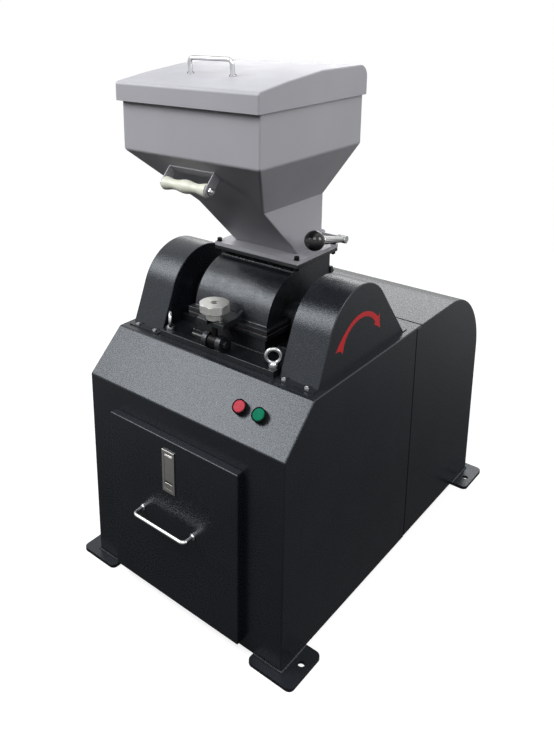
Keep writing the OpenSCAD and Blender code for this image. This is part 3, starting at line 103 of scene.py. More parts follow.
def power(name, text, watts):
    return FloatProperty(name=name, description=text, unit="POWER", min=0, default=watts)


def factor(name, text, value, top=1.0):
    return FloatProperty(name=name, description=text, min=0, max=top, default=value)


class MILL_PG_finish(bpy.types.PropertyGroup):
    """Colours of the mill's finishes"""

    body: paint("Body paint", "Hammered paint of cabinet and guards", (0.0100, 0.0114, 0.0150))
    casting: paint("Casting paint", "Gloss paint of the mill casing", (0.0060, 0.0066, 0.0080))
    hopper: paint("Hopper paint", "Satin paint of hopper and lid", (0.435, 0.435, 0.465))
    grip: paint("Grip", "Moulded plastic of the tipping grip", (0.80, 0.81, 0.69))
    stop: paint("Stop cap", "Cap of the stop button", (0.49, 0.036, 0.06))
    start: paint("Start cap", "Cap of the start button", (0.002, 0.17, 0.09))
    arrow: paint("Arrow paint", "Painted arrow of rotation", (0.62, 0.02, 0.025))


class MILL_PG_sizes(bpy.types.PropertyGroup):
    """Radii and beads that finish the pieces"""

    fold: length("Fold radius", "Radius of folded sheet edges", 0.0026)
    hopper_fold: length("Hopper fold", "Radius of the hopper's folds", 0.0034)
    lid_fold: length("Lid fold", "Radius of the lid's folds", 0.0060)
    edge: length("Cut edge", "Radius left on cut sheet edges", 0.0005)
    cast_edge: length("Cast edge", "Radius of cast and machined edges", 0.0014)
    weld: length("Weld bead", "Radius of a weld bead", 0.0034)


class MILL_PG_stage(bpy.types.PropertyGroup):
    """Lamps and floor"""

    top: power("Top lamp", "Broad lamp over the mill", 6.5)
    left: power("Left lamp", "Softbox at the front left", 45)
    front: power("Front lamp", "Softbox high at the front right", 20)
    right: power("Right lamp", "Low softbox at the right", 25)
    rear: power("Rear lamp", "Strip behind the mill", 12)
    sky: factor("Sky", "Strength of the light from overhead", 0.5, 4)
    horizon: factor("Horizon", "Strength of the light from the horizon", 0.03, 4)
    floor: factor("Floor", "Brightness of the floor as matt surfaces see it", 0.03)
    glow: factor("Floor glow", "Even part of the floor's brightness in view", 0.80, 2)
    mirror: factor("Mirrored floor", "Share of the far floor that gloss surfaces show", 0.62)
    # Painted shadow: gloss surfaces see the floor near the feet darker, standing in for the mill's
    # shadow on it
    mirror_shadowed_foot: factor("Mirrored foot", "Share of the floor at the feet in gloss surfaces", 0.06)


GROUPS = (
    ("mill_finish", MILL_PG_finish),
    ("mill_sizes", MILL_PG_sizes),
    ("mill_stage", MILL_PG_stage),
)


def sizes():
    return bpy.context.scene.mill_sizes


def colours():
    return bpy.context.scene.mill_finish


# ---- materials ----
# Sockets of a Map Range node
RANGE = ("From Min", "From Max", "To Min", "To Max")


class Graph:
    """Builds a node material on Object coordinates"""

    def __init__(self, name):
        self.material = bpy.data.materials.new(name)
        self.material.use_nodes = True
        self.tree = self.material.node_tree
        self.shader = self.tree.nodes["Principled BSDF"]
        self.place = self.tree.nodes.new("ShaderNodeTexCoord").outputs["Object"]

    def set(self, **values):
        for key, value in values.items():
            socket = self.shader.inputs[key.replace("_", " ")]
            socket.default_value = (*value, 1) if hasattr(value, "__len__") else value
        return self

    def link(self, output, socket):
        self.tree.links.new(output, self.shader.inputs[socket])

    def stretched(self, scale):
        node = self.tree.nodes.new("ShaderNodeMapping")
        node.inputs["Scale"].default_value = scale
        self.tree.links.new(self.place, node.inputs["Vector"])
        return node.outputs["Vector"]

    def noise(self, scale, detail=3.0, rough=0.55, place=None):
        node = self.tree.nodes.new("ShaderNodeTexNoise")
        node.inputs["Scale"].default_value = scale
        node.inputs["Detail"].default_value = detail
        node.inputs["Roughness"].default_value = rough
        self.tree.links.new(place or self.place, node.inputs["Vector"])
        return node.outputs["Fac"]

    def cells(self, scale, smooth):
        node = self.tree.nodes.new("ShaderNodeTexVoronoi")
        node.feature = "SMOOTH_F1"
        node.inputs["Scale"].default_value = scale
        node.inputs["Smoothness"].default_value = smooth
        self.tree.links.new(self.place, node.inputs["Vector"])
        return node.outputs["Distance"]

    def spread(self, value, low_in, high_in, low_out, high_out):
        node = self.tree.nodes.new("ShaderNodeMapRange")
        for key, number in zip(RANGE, (low_in, high_in, low_out, high_out)):
            node.inputs[key].default_value = number
        self.tree.links.new(value, node.inputs["Value"])
        return node.outputs["Result"]

    def maths(self, operation, a, b):
        node = self.tree.nodes.new("ShaderNodeMath")
        node.operation = operation
        for socket, value in zip(node.inputs, (a, b)):
            if isinstance(value, (int, float)):
                socket.default_value = value
            else:
                self.tree.links.new(value, socket)
        return node.outputs[0]

    def blend(self, value, first, second):
        node = self.tree.nodes.new("ShaderNodeMix")
        node.data_type = "RGBA"
        node.inputs["A"].default_value = (*first, 1)
        node.inputs["B"].default_value = (*second, 1)
        self.tree.links.new(value, node.inputs["Factor"])
        return node.outputs["Result"]

    def mottled(self, marks, colour, dark, light, least=0.3):
        """A colour that wanders between a darker and a lighter shade"""
        share = self.spread(marks, least, 1 - least, 0, 1)
        return self.blend(share, shade(colour, dark), shade(colour, light))

    def painted_dark_rim(self, face, rim):
        """Painted shade: fades a gloss colour to another, darker one where the surface turns away
        from view
        """
        weight = self.tree.nodes.new("ShaderNodeLayerWeight")
        node = self.tree.nodes.new("ShaderNodeMix")
        node.data_type = "RGBA"
        node.inputs["B"].default_value = (*rim, 1)
        self.tree.links.new(face, node.inputs["A"])
        share = self.spread(weight.outputs["Facing"], 0.35, 0.85, 0, 1)
        self.tree.links.new(share, node.inputs["Factor"])
        return node.outputs["Result"]

    def bump(self, height, strength, distance):
        node = self.tree.nodes.new("ShaderNodeBump")
        node.inputs["Strength"].default_value = strength
        node.inputs["Distance"].default_value = distance
        self.tree.links.new(height, node.inputs["Height"])
        self.link(node.outputs["Normal"], "Normal")
        return self


# Tint of the reflections in the black paints
SKY_SHEEN = (0.87, 0.93, 1.0)


def shade(colour, gain):
    return tuple(min(1.0, c * gain) for c in colour)


def hammered_paint():
    """Charcoal hammered paint: grains about two millimetres across over a glossy ground"""
    g = Graph("hammered_paint").set(IOR=1.5, Specular_Tint=SKY_SHEEN)
    g.link(g.mottled(g.noise(9.0, 2.0), colours().body, 0.9, 1.2), "Base Color")
    g.link(g.spread(g.noise(500.0, 1.0), 0.35, 0.65, 0.20, 0.30), "Roughness")
    g.link(g.spread(g.noise(900.0, 2.0, 0.6), 0.34, 0.66, 0.30, 0.70), "Specular IOR Level")
    grains = g.maths("ADD", g.noise(820.0, 1.5, 0.5), g.maths("MULTIPLY", g.cells(520.0, 0.7), 0.5))
    return g.bump(grains, 1.0, 0.00018).material


def gloss_casting():
    """Black gloss paint over castings and machined plates"""
    g = Graph("casting_paint").set(
        IOR=1.5, Coat_Weight=0.08, Coat_Roughness=0.12, Specular_Tint=SKY_SHEEN
    )
    g.link(g.mottled(g.noise(14.0), colours().casting, 0.8, 1.5, 0.35), "Base Color")
    g.link(g.spread(g.noise(60.0), 0.3, 0.7, 0.26, 0.40), "Roughness")
    g.link(g.spread(g.noise(760.0, 2.0, 0.6), 0.34, 0.66, 0.22, 0.80), "Specular IOR Level")
    skin = g.maths("ADD", g.noise(210.0, 2.0), g.maths("MULTIPLY", g.noise(700.0, 2.0), 0.45))
    return g.bump(skin, 0.6, 0.0006).material


def satin_grey():
    """Satin powder coat with a faint orange peel"""
    g = Graph("satin_grey_paint").set(IOR=1.48, Specular_IOR_Level=0.35)
    g.link(g.mottled(g.noise(7.0, 2.0), colours().hopper, 0.965, 1.02), "Base Color")
    g.link(g.spread(g.noise(30.0), 0.3, 0.7, 0.36, 0.46), "Roughness")
    return g.bump(g.noise(420.0, 2.0), 0.12, 0.0007).material


def metal(name, colour, rough, spread=0.06, streak=None, bump=0.05, scale=60.0, rim=0.0):
    """Bare or plated metal with uneven polish, whose colour and reflection tint may be darkened
    towards its outline as painted shade
    """
    g = Graph(name).set(Metallic=1.0)
    place = g.stretched(streak) if streak else None
    marks = g.noise(scale, 4.0, 0.6, place)
    face = g.mottled(marks, colour, 0.9, 1.05)
    # Painted shade: base colour and reflection tint darken where the surface turns away from view
    if rim:
        g.set(Specular_Tint=shade(colour, 1 - rim))
        face = g.painted_dark_rim(face, shade(colour, 1 - rim))
    g.link(face, "Base Color")
    g.link(g.spread(marks, 0.25, 0.75, max(0.02, rough - spread), rough + spread), "Roughness")
    return g.bump(marks, bump, 0.0004).material


def moulding(name, colour, rough, bump=0.04, gloss=0.5):
    """Moulded plastic with a faint unevenness"""
    g = Graph(name).set(IOR=1.49, Specular_IOR_Level=gloss)
    g.link(g.mottled(g.noise(45.0), colour, 0.94, 1.05), "Base Color")
    g.link(g.spread(g.noise(120.0), 0.3, 0.7, rough * 0.85, rough * 1.2), "Roughness")
    return g.bump(g.noise(260.0, 2.0), bump, 0.0006).material


def fabric_rubber(name, colour, gloss=0.5):
    """Rubber with a fine fabric face"""
    g = Graph(name).set(Specular_IOR_Level=gloss)
    weave = g.noise(1500.0, 1.0)
    g.link(g.blend(weave, shade(colour, 0.7), shade(colour, 1.4)), "Base Color")
    g.link(g.spread(weave, 0.3, 0.7, 0.6, 0.85), "Roughness")
    return g.bump(weave, 0.3, 0.0004).material


# A metal's rim sets how far painted shade darkens it where it turns away from view
MAKERS = {
    "hammered": hammered_paint,
    "casting": gloss_casting,
    "grey": satin_grey,
    "zinc": lambda: metal("zinc_plate", (0.50, 0.51, 0.52), 0.28, 0.08, rim=0.82),
    "screw": lambda: metal("zinc_screw", (0.78, 0.79, 0.79), 0.46, 0.06, rim=0.85),
    "dull": lambda: metal("dull_steel", (0.07, 0.07, 0.07), 0.42, 0.08),
    "chrome": lambda: metal("polished_chrome", (0.80, 0.81, 0.82), 0.10, 0.03, bump=0.02, rim=0.86),
    "nickel": lambda: metal("dull_nickel", (0.60, 0.59, 0.56), 0.34, 0.05, (1, 1, 30), 0.05, 40.0),
    "bright": lambda: metal(
        "bright_steel", (0.52, 0.52, 0.53), 0.32, 0.08, (1, 20, 20), 0.08, 40.0
    ),
    "hard": lambda: metal("hardened_steel", (0.30, 0.30, 0.31), 0.36, 0.08, (1, 1, 20), 0.1, 60.0),
    "sheet": lambda: metal("galvanised_sheet", (0.50, 0.52, 0.53), 0.42, 0.1, None, 0.08, 25.0),
    "blacked": lambda: metal("blackened_steel", (0.014, 0.014, 0.015), 0.40, 0.08),
    "iron": lambda: metal("turned_iron", (0.16, 0.16, 0.165), 0.42, 0.08, (30, 1, 1), 0.1, 50.0),
    "cast_light": lambda: metal("cast_aluminium", (0.60, 0.60, 0.58), 0.44, 0.08, None, 0.5, 220.0),
    "lever": lambda: metal(
        "lever_plate", (0.74, 0.75, 0.75), 0.22, 0.06, None, 0.15, 120.0, rim=0.5
    ),
    "motor": lambda: moulding("motor_enamel", (0.10, 0.13, 0.16), 0.4, 0.3),
    "black": lambda: moulding("black_moulding", (0.008, 0.008, 0.008), 0.22),
    "ball": lambda: moulding("polished_phenolic", (0.006, 0.006, 0.006), 0.07, 0.01),
    "cream": lambda: moulding("cream_moulding", colours().grip, 0.26),
    "red": lambda: moulding("red_cap", colours().stop, 0.5, 0.04, 0.2),
    "green": lambda: moulding("green_cap", colours().start, 0.5, 0.04, 0.06),
    "arrow": lambda: moulding("arrow_paint", colours().arrow, 0.4, 0.1),
    "belt": lambda: fabric_rubber("belt_rubber", (0.018, 0.018, 0.018)),
    "gasket": lambda: fabric_rubber("gasket_rubber", (0.05, 0.03, 0.025)),
    # Matt black, used only as painted shade in the seam and round the button caps
    "shade_black": lambda: fabric_rubber("seal_rubber", (0.0025, 0.0025, 0.0025), 0.1),
}
MADE = {}


def finish(key):
    if key not in MADE:
        MADE[key] = MAKERS[key]()
    return MADE[key]


# ---- pieces ----
# Gap within which a mesh's points are joined, and the angle below which its faces are one
JOIN_GAP, FLAT = 2e-5, math.radians(0.8)
# Least angles in degrees of a sheet's fold and of any other edge that is rounded
LEAST_FOLD, LEAST_EDGE = 8, 28
# Edge radii of machined parts, small fittings, the black strips and rings of painted shade, and
# bent rods
MACHINED, FITTING, SHADE_PIECE_EDGE, ROD = 0.0008, 0.0006, 0.0004, 0.0003
# How far an edge's ends may differ along x for it to count as lying on one side
LEVEL = 1e-4
# Angle in degrees up to which a weld bead is shaded as smooth
BEAD_SMOOTH = 60


def merged(node):
    """A copy of a CAD node's mesh with its loose triangles joined into whole faces"""
    bm = bmesh.new()
    bm.from_mesh(NODES[node].data)
    bmesh.ops.remove_doubles(bm, verts=bm.verts, dist=JOIN_GAP)
    bmesh.ops.recalc_face_normals(bm, faces=bm.faces)
    bmesh.ops.dissolve_limit(
        bm, angle_limit=FLAT, use_dissolve_boundaries=False, verts=bm.verts, edges=bm.edges
    )
    return bm


def sharp(bm, degrees=LEAST_EDGE):
    least = math.radians(degrees)
    return [e for e in bm.edges if len(e.link_faces) == 2 and e.calc_face_angle() > least]


def rounded(bm, edges, width, segments=2, clamp=True):
    """Rounds edges; the clamp narrows all of them to what the shortest edge beside them allows"""
    if edges:
        bmesh.ops.bevel(
            bm, geom=edges, offset=width, offset_type="OFFSET", segments=segments, profile=0.5,
            affect="EDGES", clamp_overlap=clamp, material=-1,
        )


def convex(edges):
    return [e for e in edges if e.calc_face_angle_signed() > 0]


def centre_of(edge):
    return (edge.verts[0].co + edge.verts[1].co) / 2


def run_of(edge):
    return edge.verts[1].co - edge.verts[0].co


def near(a, b, tolerance=0.0006):
    return abs(a - b) < tolerance


def piece(name, bm, material, body, node=None, smooth=32):
    """Turns a bmesh into a finished piece that rides on a body and may stand for a CAD node"""
    if not bm.faces:
        raise RuntimeError(f"{name} has no faces")
    mesh = bpy.data.meshes.new(name)
    bm.to_mesh(mesh)
    bm.free()
    for polygon in mesh.polygons:
        polygon.use_smooth = True
    mesh.set_sharp_from_angle(angle=math.radians(smooth))
    mesh.materials.append(finish(material))
    obj = bpy.data.objects.new(name, mesh)
    bpy.context.scene.collection.objects.link(obj)
    weighted = obj.modifiers.new("Face weights", "WEIGHTED_NORMAL")
    weighted.keep_sharp = True
    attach(obj, body)
    if node:
        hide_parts(*([node] if isinstance(node, str) else node))
    return obj


def body_of(node):
    return NODES[node]["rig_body"]


def dressed(node, material, width, segments=2, folds=None, fold_width=None):
    """A copy of a CAD node with its folds and then its cut edges rounded"""
    bm = merged(node)
    if folds:
        chosen = [e for e in sharp(bm, LEAST_FOLD) if folds(centre_of(e), e)]
        rounded(bm, chosen, fold_width, 4)
    rounded(bm, sharp(bm), width, segments)
    return piece(node + "_finished", bm, material, body_of(node), node)


def softened(node, material, width, segments=2, degrees=LEAST_EDGE):
    """A copy of a CAD node whose outer edges are rounded at full width, past short edges too"""
    bm = merged(node)
    rounded(bm, convex(sharp(bm, degrees)), width, segments, clamp=False)
    return piece(node + "_finished", bm, material, body_of(node), node)


def dress(*rows):
    """Dresses nodes that differ only in material, radius and segments"""
    for node, material, width, segments in rows:
        dressed(node, material, width, segments)


def recolour(node, material):
    """Gives a CAD node that stays as it is its better material"""
    data = NODES[node].data
    data.materials.clear()
    data.materials.append(finish(material))
    for polygon in data.polygons:
        polygon.material_index = 0


def join(target, source):
    """Adds one bmesh to another"""
    mesh = bpy.data.meshes.new("part")
    source.to_mesh(mesh)
    source.free()
    target.from_mesh(mesh)
    bpy.data.meshes.remove(mesh)
    return target


def weld(start, end, radius, pitch=0.0032, seed=1):
    """A rippled weld bead between two points"""
    bm = bmesh.new()
    run = end - start
    count = max(2, int(run.length / pitch))
    turn = X.rotation_difference(run.normalized()).to_matrix().to_4x4()
    for i in range(count + 1):
        # Two waves out of step make the ripples uneven
        swell = 1 + 0.12 * math.sin(seed + 2.3 * i) + 0.08 * math.sin(5.1 * i)
        shape = Matrix.Diagonal((0.75, swell, swell, 1))
        bmesh.ops.create_uvsphere(
            bm, u_segments=8, v_segments=6, radius=radius,
            matrix=Matrix.Translation(start + run * (i / count)) @ turn @ shape,
        )
    return bm


def strip(centre, size):
    """A black strip with rounded edges, laid in a seam as painted shade"""
    bm = bmesh.new()
    bmesh.ops.create_cube(
        bm, size=1, matrix=Matrix.Translation(centre) @ Matrix.Diagonal((*size, 1))
    )
    rounded(bm, bm.edges[:], SHADE_PIECE_EDGE, 2)
    return bm


# ---- operators: sheets ----
# Middle of the seam between cabinet and rear cover, on the sides and on the deck
SEAM_SIDE, SEAM_DECK = 0.06675, 0.08875
# Black strip of painted shade in the seam, standing in for the dark gap: width, thickness, depth of
# its middle below the sheet, how far it stays inside the deck's sides, lower and upper end
SHADE_STRIP_WIDTH, SHADE_STRIP_THICK, SHADE_STRIP_DEPTH, SHADE_STRIP_INSET = 0.0040, 0.0030, 0.0012, 0.0005
SHADE_STRIP_ENDS = 0.011, 0.526
# Shortest fold on a side and across the front, and the strip above the foot without folds
SIDE_FOLD, CROSS_FOLD, PLAIN_FOOT = 0.05, 0.4, 0.02
# Heights above which the panel's folds lie on the sides and in front, its depth from the
# front, and the place along y in front of which the deck's fold lies
PANEL_SIDE_Z, PANEL_FRONT_Z, PANEL_DEPTH, DECK_FOLD_Y = 0.44, 0.4, 0.09, -0.3
# Foot of the rear cover's round shoulder, and width of its lap on the cabinet
SHOULDER_FOOT, COVER_LAP = 0.355, 0.004


class MILL_OT_cabinet(bpy.types.Operator):
    """Folds and finishes the cabinet and its rear cover"""

    bl_idname = "mill.cabinet"
    bl_label = "Cabinet"

    def execute(self, context):
        lo, hi = low("cabinet"), high("cabinet")
        side = hi.x

        def cabinet_folds(m, e):
            run = run_of(e)
            if near(abs(m.x), side) and m.z > lo.z + PLAIN_FOOT:
                outer = near(m.y, lo.y) or near(m.z, hi.z)
                slope = m.z > PANEL_SIDE_Z and m.y < lo.y + PANEL_DEPTH
                return (outer or slope) and abs(run.x) < LEVEL and run.length > SIDE_FOLD
            in_front = near(m.y, lo.y) and m.z > PANEL_FRONT_Z
            on_deck = near(m.z, hi.z) and m.y < DECK_FOLD_Y
            across = abs(run.normalized().x) > 0.99 and run.length > CROSS_FOLD
            return across and (in_front or on_deck)

        dressed("cabinet", "hammered", sizes().edge, 1, cabinet_folds, sizes().fold)
        front, back = low("rear_cover").y, high("rear_cover").y

        def cover_folds(m, e):
            if not near(abs(m.x), side) or abs(run_of(e).x) > LEVEL:
                return False
            return near(m.y, back) or m.z > SHOULDER_FOOT and not near(m.y, front, COVER_LAP)

        dressed("rear_cover", "hammered", sizes().edge, 1, cover_folds, sizes().fold)
        for node in ("base_frame", "base_plate"):
            dressed(node, "casting", MACHINED, 1)
        # A black strip in the seam on each side and across the deck: painted shade standing in for
        # the dark gap
        foot, top = SHADE_STRIP_ENDS
        bm = bmesh.new()
        for x in (-1, 1):
            centre = (x * (side - SHADE_STRIP_DEPTH), SEAM_SIDE, (foot + top) / 2)
            join(bm, strip(centre, (SHADE_STRIP_THICK, SHADE_STRIP_WIDTH, top - foot)))
        centre = (0, SEAM_DECK, hi.z - SHADE_STRIP_DEPTH)
        join(bm, strip(centre, (2 * (side - SHADE_STRIP_INSET), SHADE_STRIP_WIDTH, SHADE_STRIP_THICK)))
        piece("seam_seal", bm, "shade_black", "base")
        return {"FINISHED"}


# Lengths of the beads along the front and rear feet and across the front, and their standoff
BEAD_FRONT, BEAD_REAR, BEAD_ACROSS, BEAD_OFF = 0.08, 0.085, 0.06, 0.0005


class MILL_OT_feet(bpy.types.Operator):
    """Finishes the anchor feet and welds them on"""

    bl_idname = "mill.feet"
    bl_label = "Anchor feet"

    def execute(self, context):
        dressed("anchor_feet", "hammered", 0.0009, 2)
        top = high("anchor_feet").z
        lo, hi = low("cabinet"), high("rear_cover")
        bm = bmesh.new()
        bead = sizes().weld
        for side in (-1, 1):
            x = side * (hi.x + BEAD_OFF)
            for y0, y1 in ((lo.y, lo.y + BEAD_FRONT), (hi.y - BEAD_REAR, hi.y)):
                join(bm, weld(Vector((x, y0, top)), Vector((x, y1, top)), bead, seed=side + y0))
            x0, x1, y = side * (hi.x - BEAD_ACROSS), side * hi.x, lo.y - BEAD_OFF
            join(bm, weld(Vector((x0, y, top)), Vector((x1, y, top)), bead, seed=side))
        piece("foot_welds", bm, "hammered", "base", smooth=BEAD_SMOOTH)
        return {"FINISHED"}


# Middle of the guards' round top, least distance of a fold from it, fold radius, plain foot
GUARD_AXIS, GUARD_RIM = Vector((0, -0.1555, 0.5750)), 0.1135
GUARD_FOLD, GUARD_FOOT = 0.0022, 0.003


class MILL_OT_guards(bpy.types.Operator):
    """Finishes the belt and flywheel guards and paints the arrow of rotation"""

    bl_idname = "mill.guards"
    bl_label = "Guards"

    def execute(self, context):
        for node in ("left_guard", "right_guard"):
            faces = sorted((abs(low(node).x), abs(high(node).x)))
            foot = low(node).z

            def folds(m, e):
                outer = near(abs(m.x), faces[0]) or near(abs(m.x), faces[1])
                if outer and abs(run_of(e).x) < LEVEL:
                    rim = math.hypot(m.y - GUARD_AXIS.y, m.z - GUARD_AXIS.z)
                    return m.z > foot + GUARD_FOOT and rim > GUARD_RIM
                return False

            dressed(node, "hammered", sizes().edge, 1, folds, GUARD_FOLD)
        arrow_piece()
        return {"FINISHED"}


ARROW_CENTRE = Vector((0, -0.1535, 0.5450))
ARROW_RADIUS, ARROW_LIFT, ARROW_STEPS = 0.082, 0.0002, 30
# Angles of the fork's prongs, its notch, the foot of the head and the tip
ARROW_TAIL, ARROW_NOTCH, ARROW_NECK, ARROW_TIP = map(math.radians, (157.3, 154.0, 41.5, 22.6))
# Start and length in degrees of the band's flare at the tail and of its swell at the neck
ARROW_FLARE_AT, ARROW_SWELL_AT = (122, 35), (62, 20)
# Half widths: the slim band, what flare and swell add to it, the head's barbs and its tip
ARROW_WAIST, ARROW_FLARE, ARROW_SWELL = 0.0050, 0.0086, 0.0012
ARROW_BARB, ARROW_POINT = 0.0134, 0.0004
# How far the head's foot is hollowed, as an angle, and how far the head is set outwards
ARROW_HOLLOW, ARROW_OUTSET = 0.012, 0.0015


def arrow_width(angle):
    """Half the band's width: slim in the middle, broader at the neck and flared at the tail"""
    start, span = map(math.radians, ARROW_FLARE_AT)
    flare = max(0.0, (angle - start) / span)
    start, span = map(math.radians, ARROW_SWELL_AT)
    swell = max(0.0, (start - angle) / span)
    return ARROW_WAIST + ARROW_FLARE * flare ** 1.7 + ARROW_SWELL * swell


def arrow_piece():
    """A thin painted arrow: a bent strip, forked at the tail and broad at the head"""
    bm = bmesh.new()
    bmesh.ops.create_grid(bm, x_segments=ARROW_STEPS, y_segments=2, size=1)
    face = high("right_guard").x + ARROW_LIFT
    for vert in bm.verts:
        column, row = round((vert.co.x + 1) / 2 * ARROW_STEPS), round(vert.co.y)
        share = min(1.0, column / (ARROW_STEPS - 2))
        angle = ARROW_TAIL + (ARROW_NECK - ARROW_TAIL) * share
        width = arrow_width(angle)
        if column == 0 and row == 0:
            angle = ARROW_NOTCH
        if column == ARROW_STEPS - 1:
            width, angle = ARROW_BARB, ARROW_NECK - (ARROW_HOLLOW if row == 0 else 0.0)
        if column == ARROW_STEPS:
            width, angle = ARROW_POINT, ARROW_TIP
        reach = ARROW_RADIUS + row * width + (ARROW_OUTSET if column >= ARROW_STEPS - 1 else 0)
        out = Vector((0, math.cos(angle), math.sin(angle))) * reach
        vert.co = (face, ARROW_CENTRE.y + out.y, ARROW_CENTRE.z + out.z)
    bm.normal_update()
    if sum(f.normal.x for f in bm.faces) < 0:
        bmesh.ops.reverse_faces(bm, faces=bm.faces)
    bmesh.ops.solidify(bm, geom=bm.faces[:], thickness=ARROW_LIFT / 2)
    piece("rotation_arrow", bm, "arrow", "base", smooth=30)


# Top of the hopper's flange, the plain strip under its rim and its shortest fold
HOPPER_FLANGE, HOPPER_RIM, HOPPER_FOLD_RUN = 0.713, 0.003, 0.06
# The lid's plain hem, and the least angle of its folds
LID_HEM, LID_BEND = 0.002, math.radians(20)


class MILL_OT_hopper(bpy.types.Operator):
    """Finishes the hopper, its lid, hinges and handle"""

    bl_idname = "mill.hopper"
    bl_label = "Hopper and lid"

    def execute(self, context):
        rim, hem = high("hopper").z - HOPPER_RIM, low("hopper_lid").z + LID_HEM

        def hopper_folds(m, e):
            on_wall = HOPPER_FLANGE < m.z < rim
            return on_wall and e.calc_face_angle_signed() > 0 and e.calc_length() > HOPPER_FOLD_RUN

        def lid_folds(m, e):
            return m.z > hem and e.calc_face_angle_signed() > LID_BEND

        dressed("hopper", "grey", sizes().edge, 1, hopper_folds, sizes().hopper_fold)
        dressed("hopper_lid", "grey", sizes().edge, 1, lid_folds, sizes().lid_fold)
        dress(
            ("lid_handle", "chrome", ROD, 1), ("lid_hinge_leaves", "zinc", FITTING, 2),
            ("lid_hinge_bases", "zinc", FITTING, 2),
        )
        return {"FINISHED"}


# Radius and shortest length of the drawer front's folds
DRAWER_FOLD, DRAWER_FOLD_RUN = 0.0024, 0.01


class MILL_OT_drawer(bpy.types.Operator):
    """Finishes the drawer, its handle and its latch"""

    bl_idname = "mill.drawer"
    bl_label = "Drawer"

    def execute(self, context):
        lo, hi = low("drawer_front"), high("drawer_front")

        def folds(m, e):
            on_x, on_z = near(m.x, lo.x) or near(m.x, hi.x), near(m.z, lo.z) or near(m.z, hi.z)
            on_y = near(m.y, lo.y)
            return on_x + on_z + on_y >= 2 and e.calc_length() > DRAWER_FOLD_RUN

        cut = sizes().edge
        dressed("drawer_front", "hammered", cut, 1, folds, DRAWER_FOLD)
        dress(("drawer_tub", "sheet", cut, 1), ("drawer_handle", "chrome", ROD, 1))
        softened("latch_case", "nickel", FITTING)
        dress(
            ("latch_paddle", "nickel", FITTING, 2), ("latch_button", "nickel", FITTING, 2),
            ("latch_tongue", "zinc", cut, 1),
        )
        return {"FINISHED"}


# ---- operators: mill ----
# Edge radii of the upper casing with its yoke and of the gasket
UPPER_EDGE, GASKET_EDGE = 0.0010, 0.0002
# Bead round the casing's foot: half width, front and back, and radius
FOOT_WALL, FOOT_FRONT, FOOT_BACK, FOOT_BEAD = 0.0925, -0.2620, -0.0345, 0.0030
# Bead at the throat: half width, the line on which the front wall leaves the drum, radius, pitch
THROAT_FOOT, THROAT_BEAD, THROAT_PITCH = (0.0895, -0.1690, 0.6838), 0.0046, 0.0040


class MILL_OT_casing(bpy.types.Operator):
    """Finishes the casing, bearings, hinge and their bolts"""

    bl_idname = "mill.casing"
    bl_label = "Mill casing"

    def execute(self, context):
        for node in ("upper_casing", "clamp_yoke"):
            softened(node, "casting", UPPER_EDGE)
        for node in ("lower_casing", "bearing_units", "clamp_lug", "hinge_lugs", "hinge_arms"):
            dressed(node, "casting", sizes().cast_edge, 2)
        cut = sizes().edge
        dress(
            ("casing_gasket", "gasket", GASKET_EDGE, 1), ("hinge_pin", "bright", MACHINED, 2),
            ("base_bolts", "blacked", cut, 1), ("casing_bolts", "blacked", cut, 1),
        )
        softened("cover_screws", "screw", cut)
        left, right = Vector((-FOOT_WALL, FOOT_FRONT)), Vector((FOOT_WALL, FOOT_FRONT))
        back = Vector((0, FOOT_BACK - FOOT_FRONT))
        foot = high("base_plate").z
        bm = bmesh.new()
        for i, (a, b) in enumerate(((left, right), (right, right + back), (left, left + back))):
            join(bm, weld(Vector((*a, foot)), Vector((*b, foot)), FOOT_BEAD, seed=i))
        piece("casing_welds", bm, "casting", "base", smooth=BEAD_SMOOTH)
        half, y, z = THROAT_FOOT
        bm = weld(Vector((-half, y, z)), Vector((half, y, z)), THROAT_BEAD, THROAT_PITCH, seed=4)
        piece("throat_weld", bm, "casting", "mill_top", smooth=BEAD_SMOOTH)
        return {"FINISHED"}


# Edge radius of the knob and the least angle of its edges in degrees
KNOB_EDGE, KNOB_ANGLE = 0.0011, 15


class MILL_OT_clamp(bpy.types.Operator):
    """Finishes the swing bolt and its octagonal knob"""

    bl_idname = "mill.clamp"
    bl_label = "Clamp"

    def execute(self, context):
        softened("swing_bolt", "blacked", FITTING)
        softened("clamp_pin", "dull", FITTING)
        bm = merged("clamp_knob")
        rounded(bm, sharp(bm, KNOB_ANGLE), KNOB_EDGE, 2)
        piece("clamp_knob_finished", bm, "cast_light", "knob", "clamp_knob")
        return {"FINISHED"}


class MILL_OT_eyes(bpy.types.Operator):
    """Finishes the lifting eyes"""

    bl_idname = "mill.eyes"
    bl_label = "Lifting eyes"

    def execute(self, context):
        softened("lifting_eyes", "zinc", MACHINED, degrees=20)
        return {"FINISHED"}


# Edge radius of the lever, radius of its hub, growth of its arm towards the ball, share of
# the reach over which it grows, and its flattening
LEVER_EDGE, LEVER_HUB, LEVER_SWELL, LEVER_GROWS, LEVER_FLAT = 0.0010, 0.0125, 0.42, 0.6, 0.85
# Radius of the hub's bore, and the share of the hub's wall that is taken off
HUB_BORE, HUB_SLIM = 0.0064, 0.6
# Edge radii of the feed flap and the tipping grip
FLAP_EDGE, GRIP_EDGE = 0.0004, 0.0016


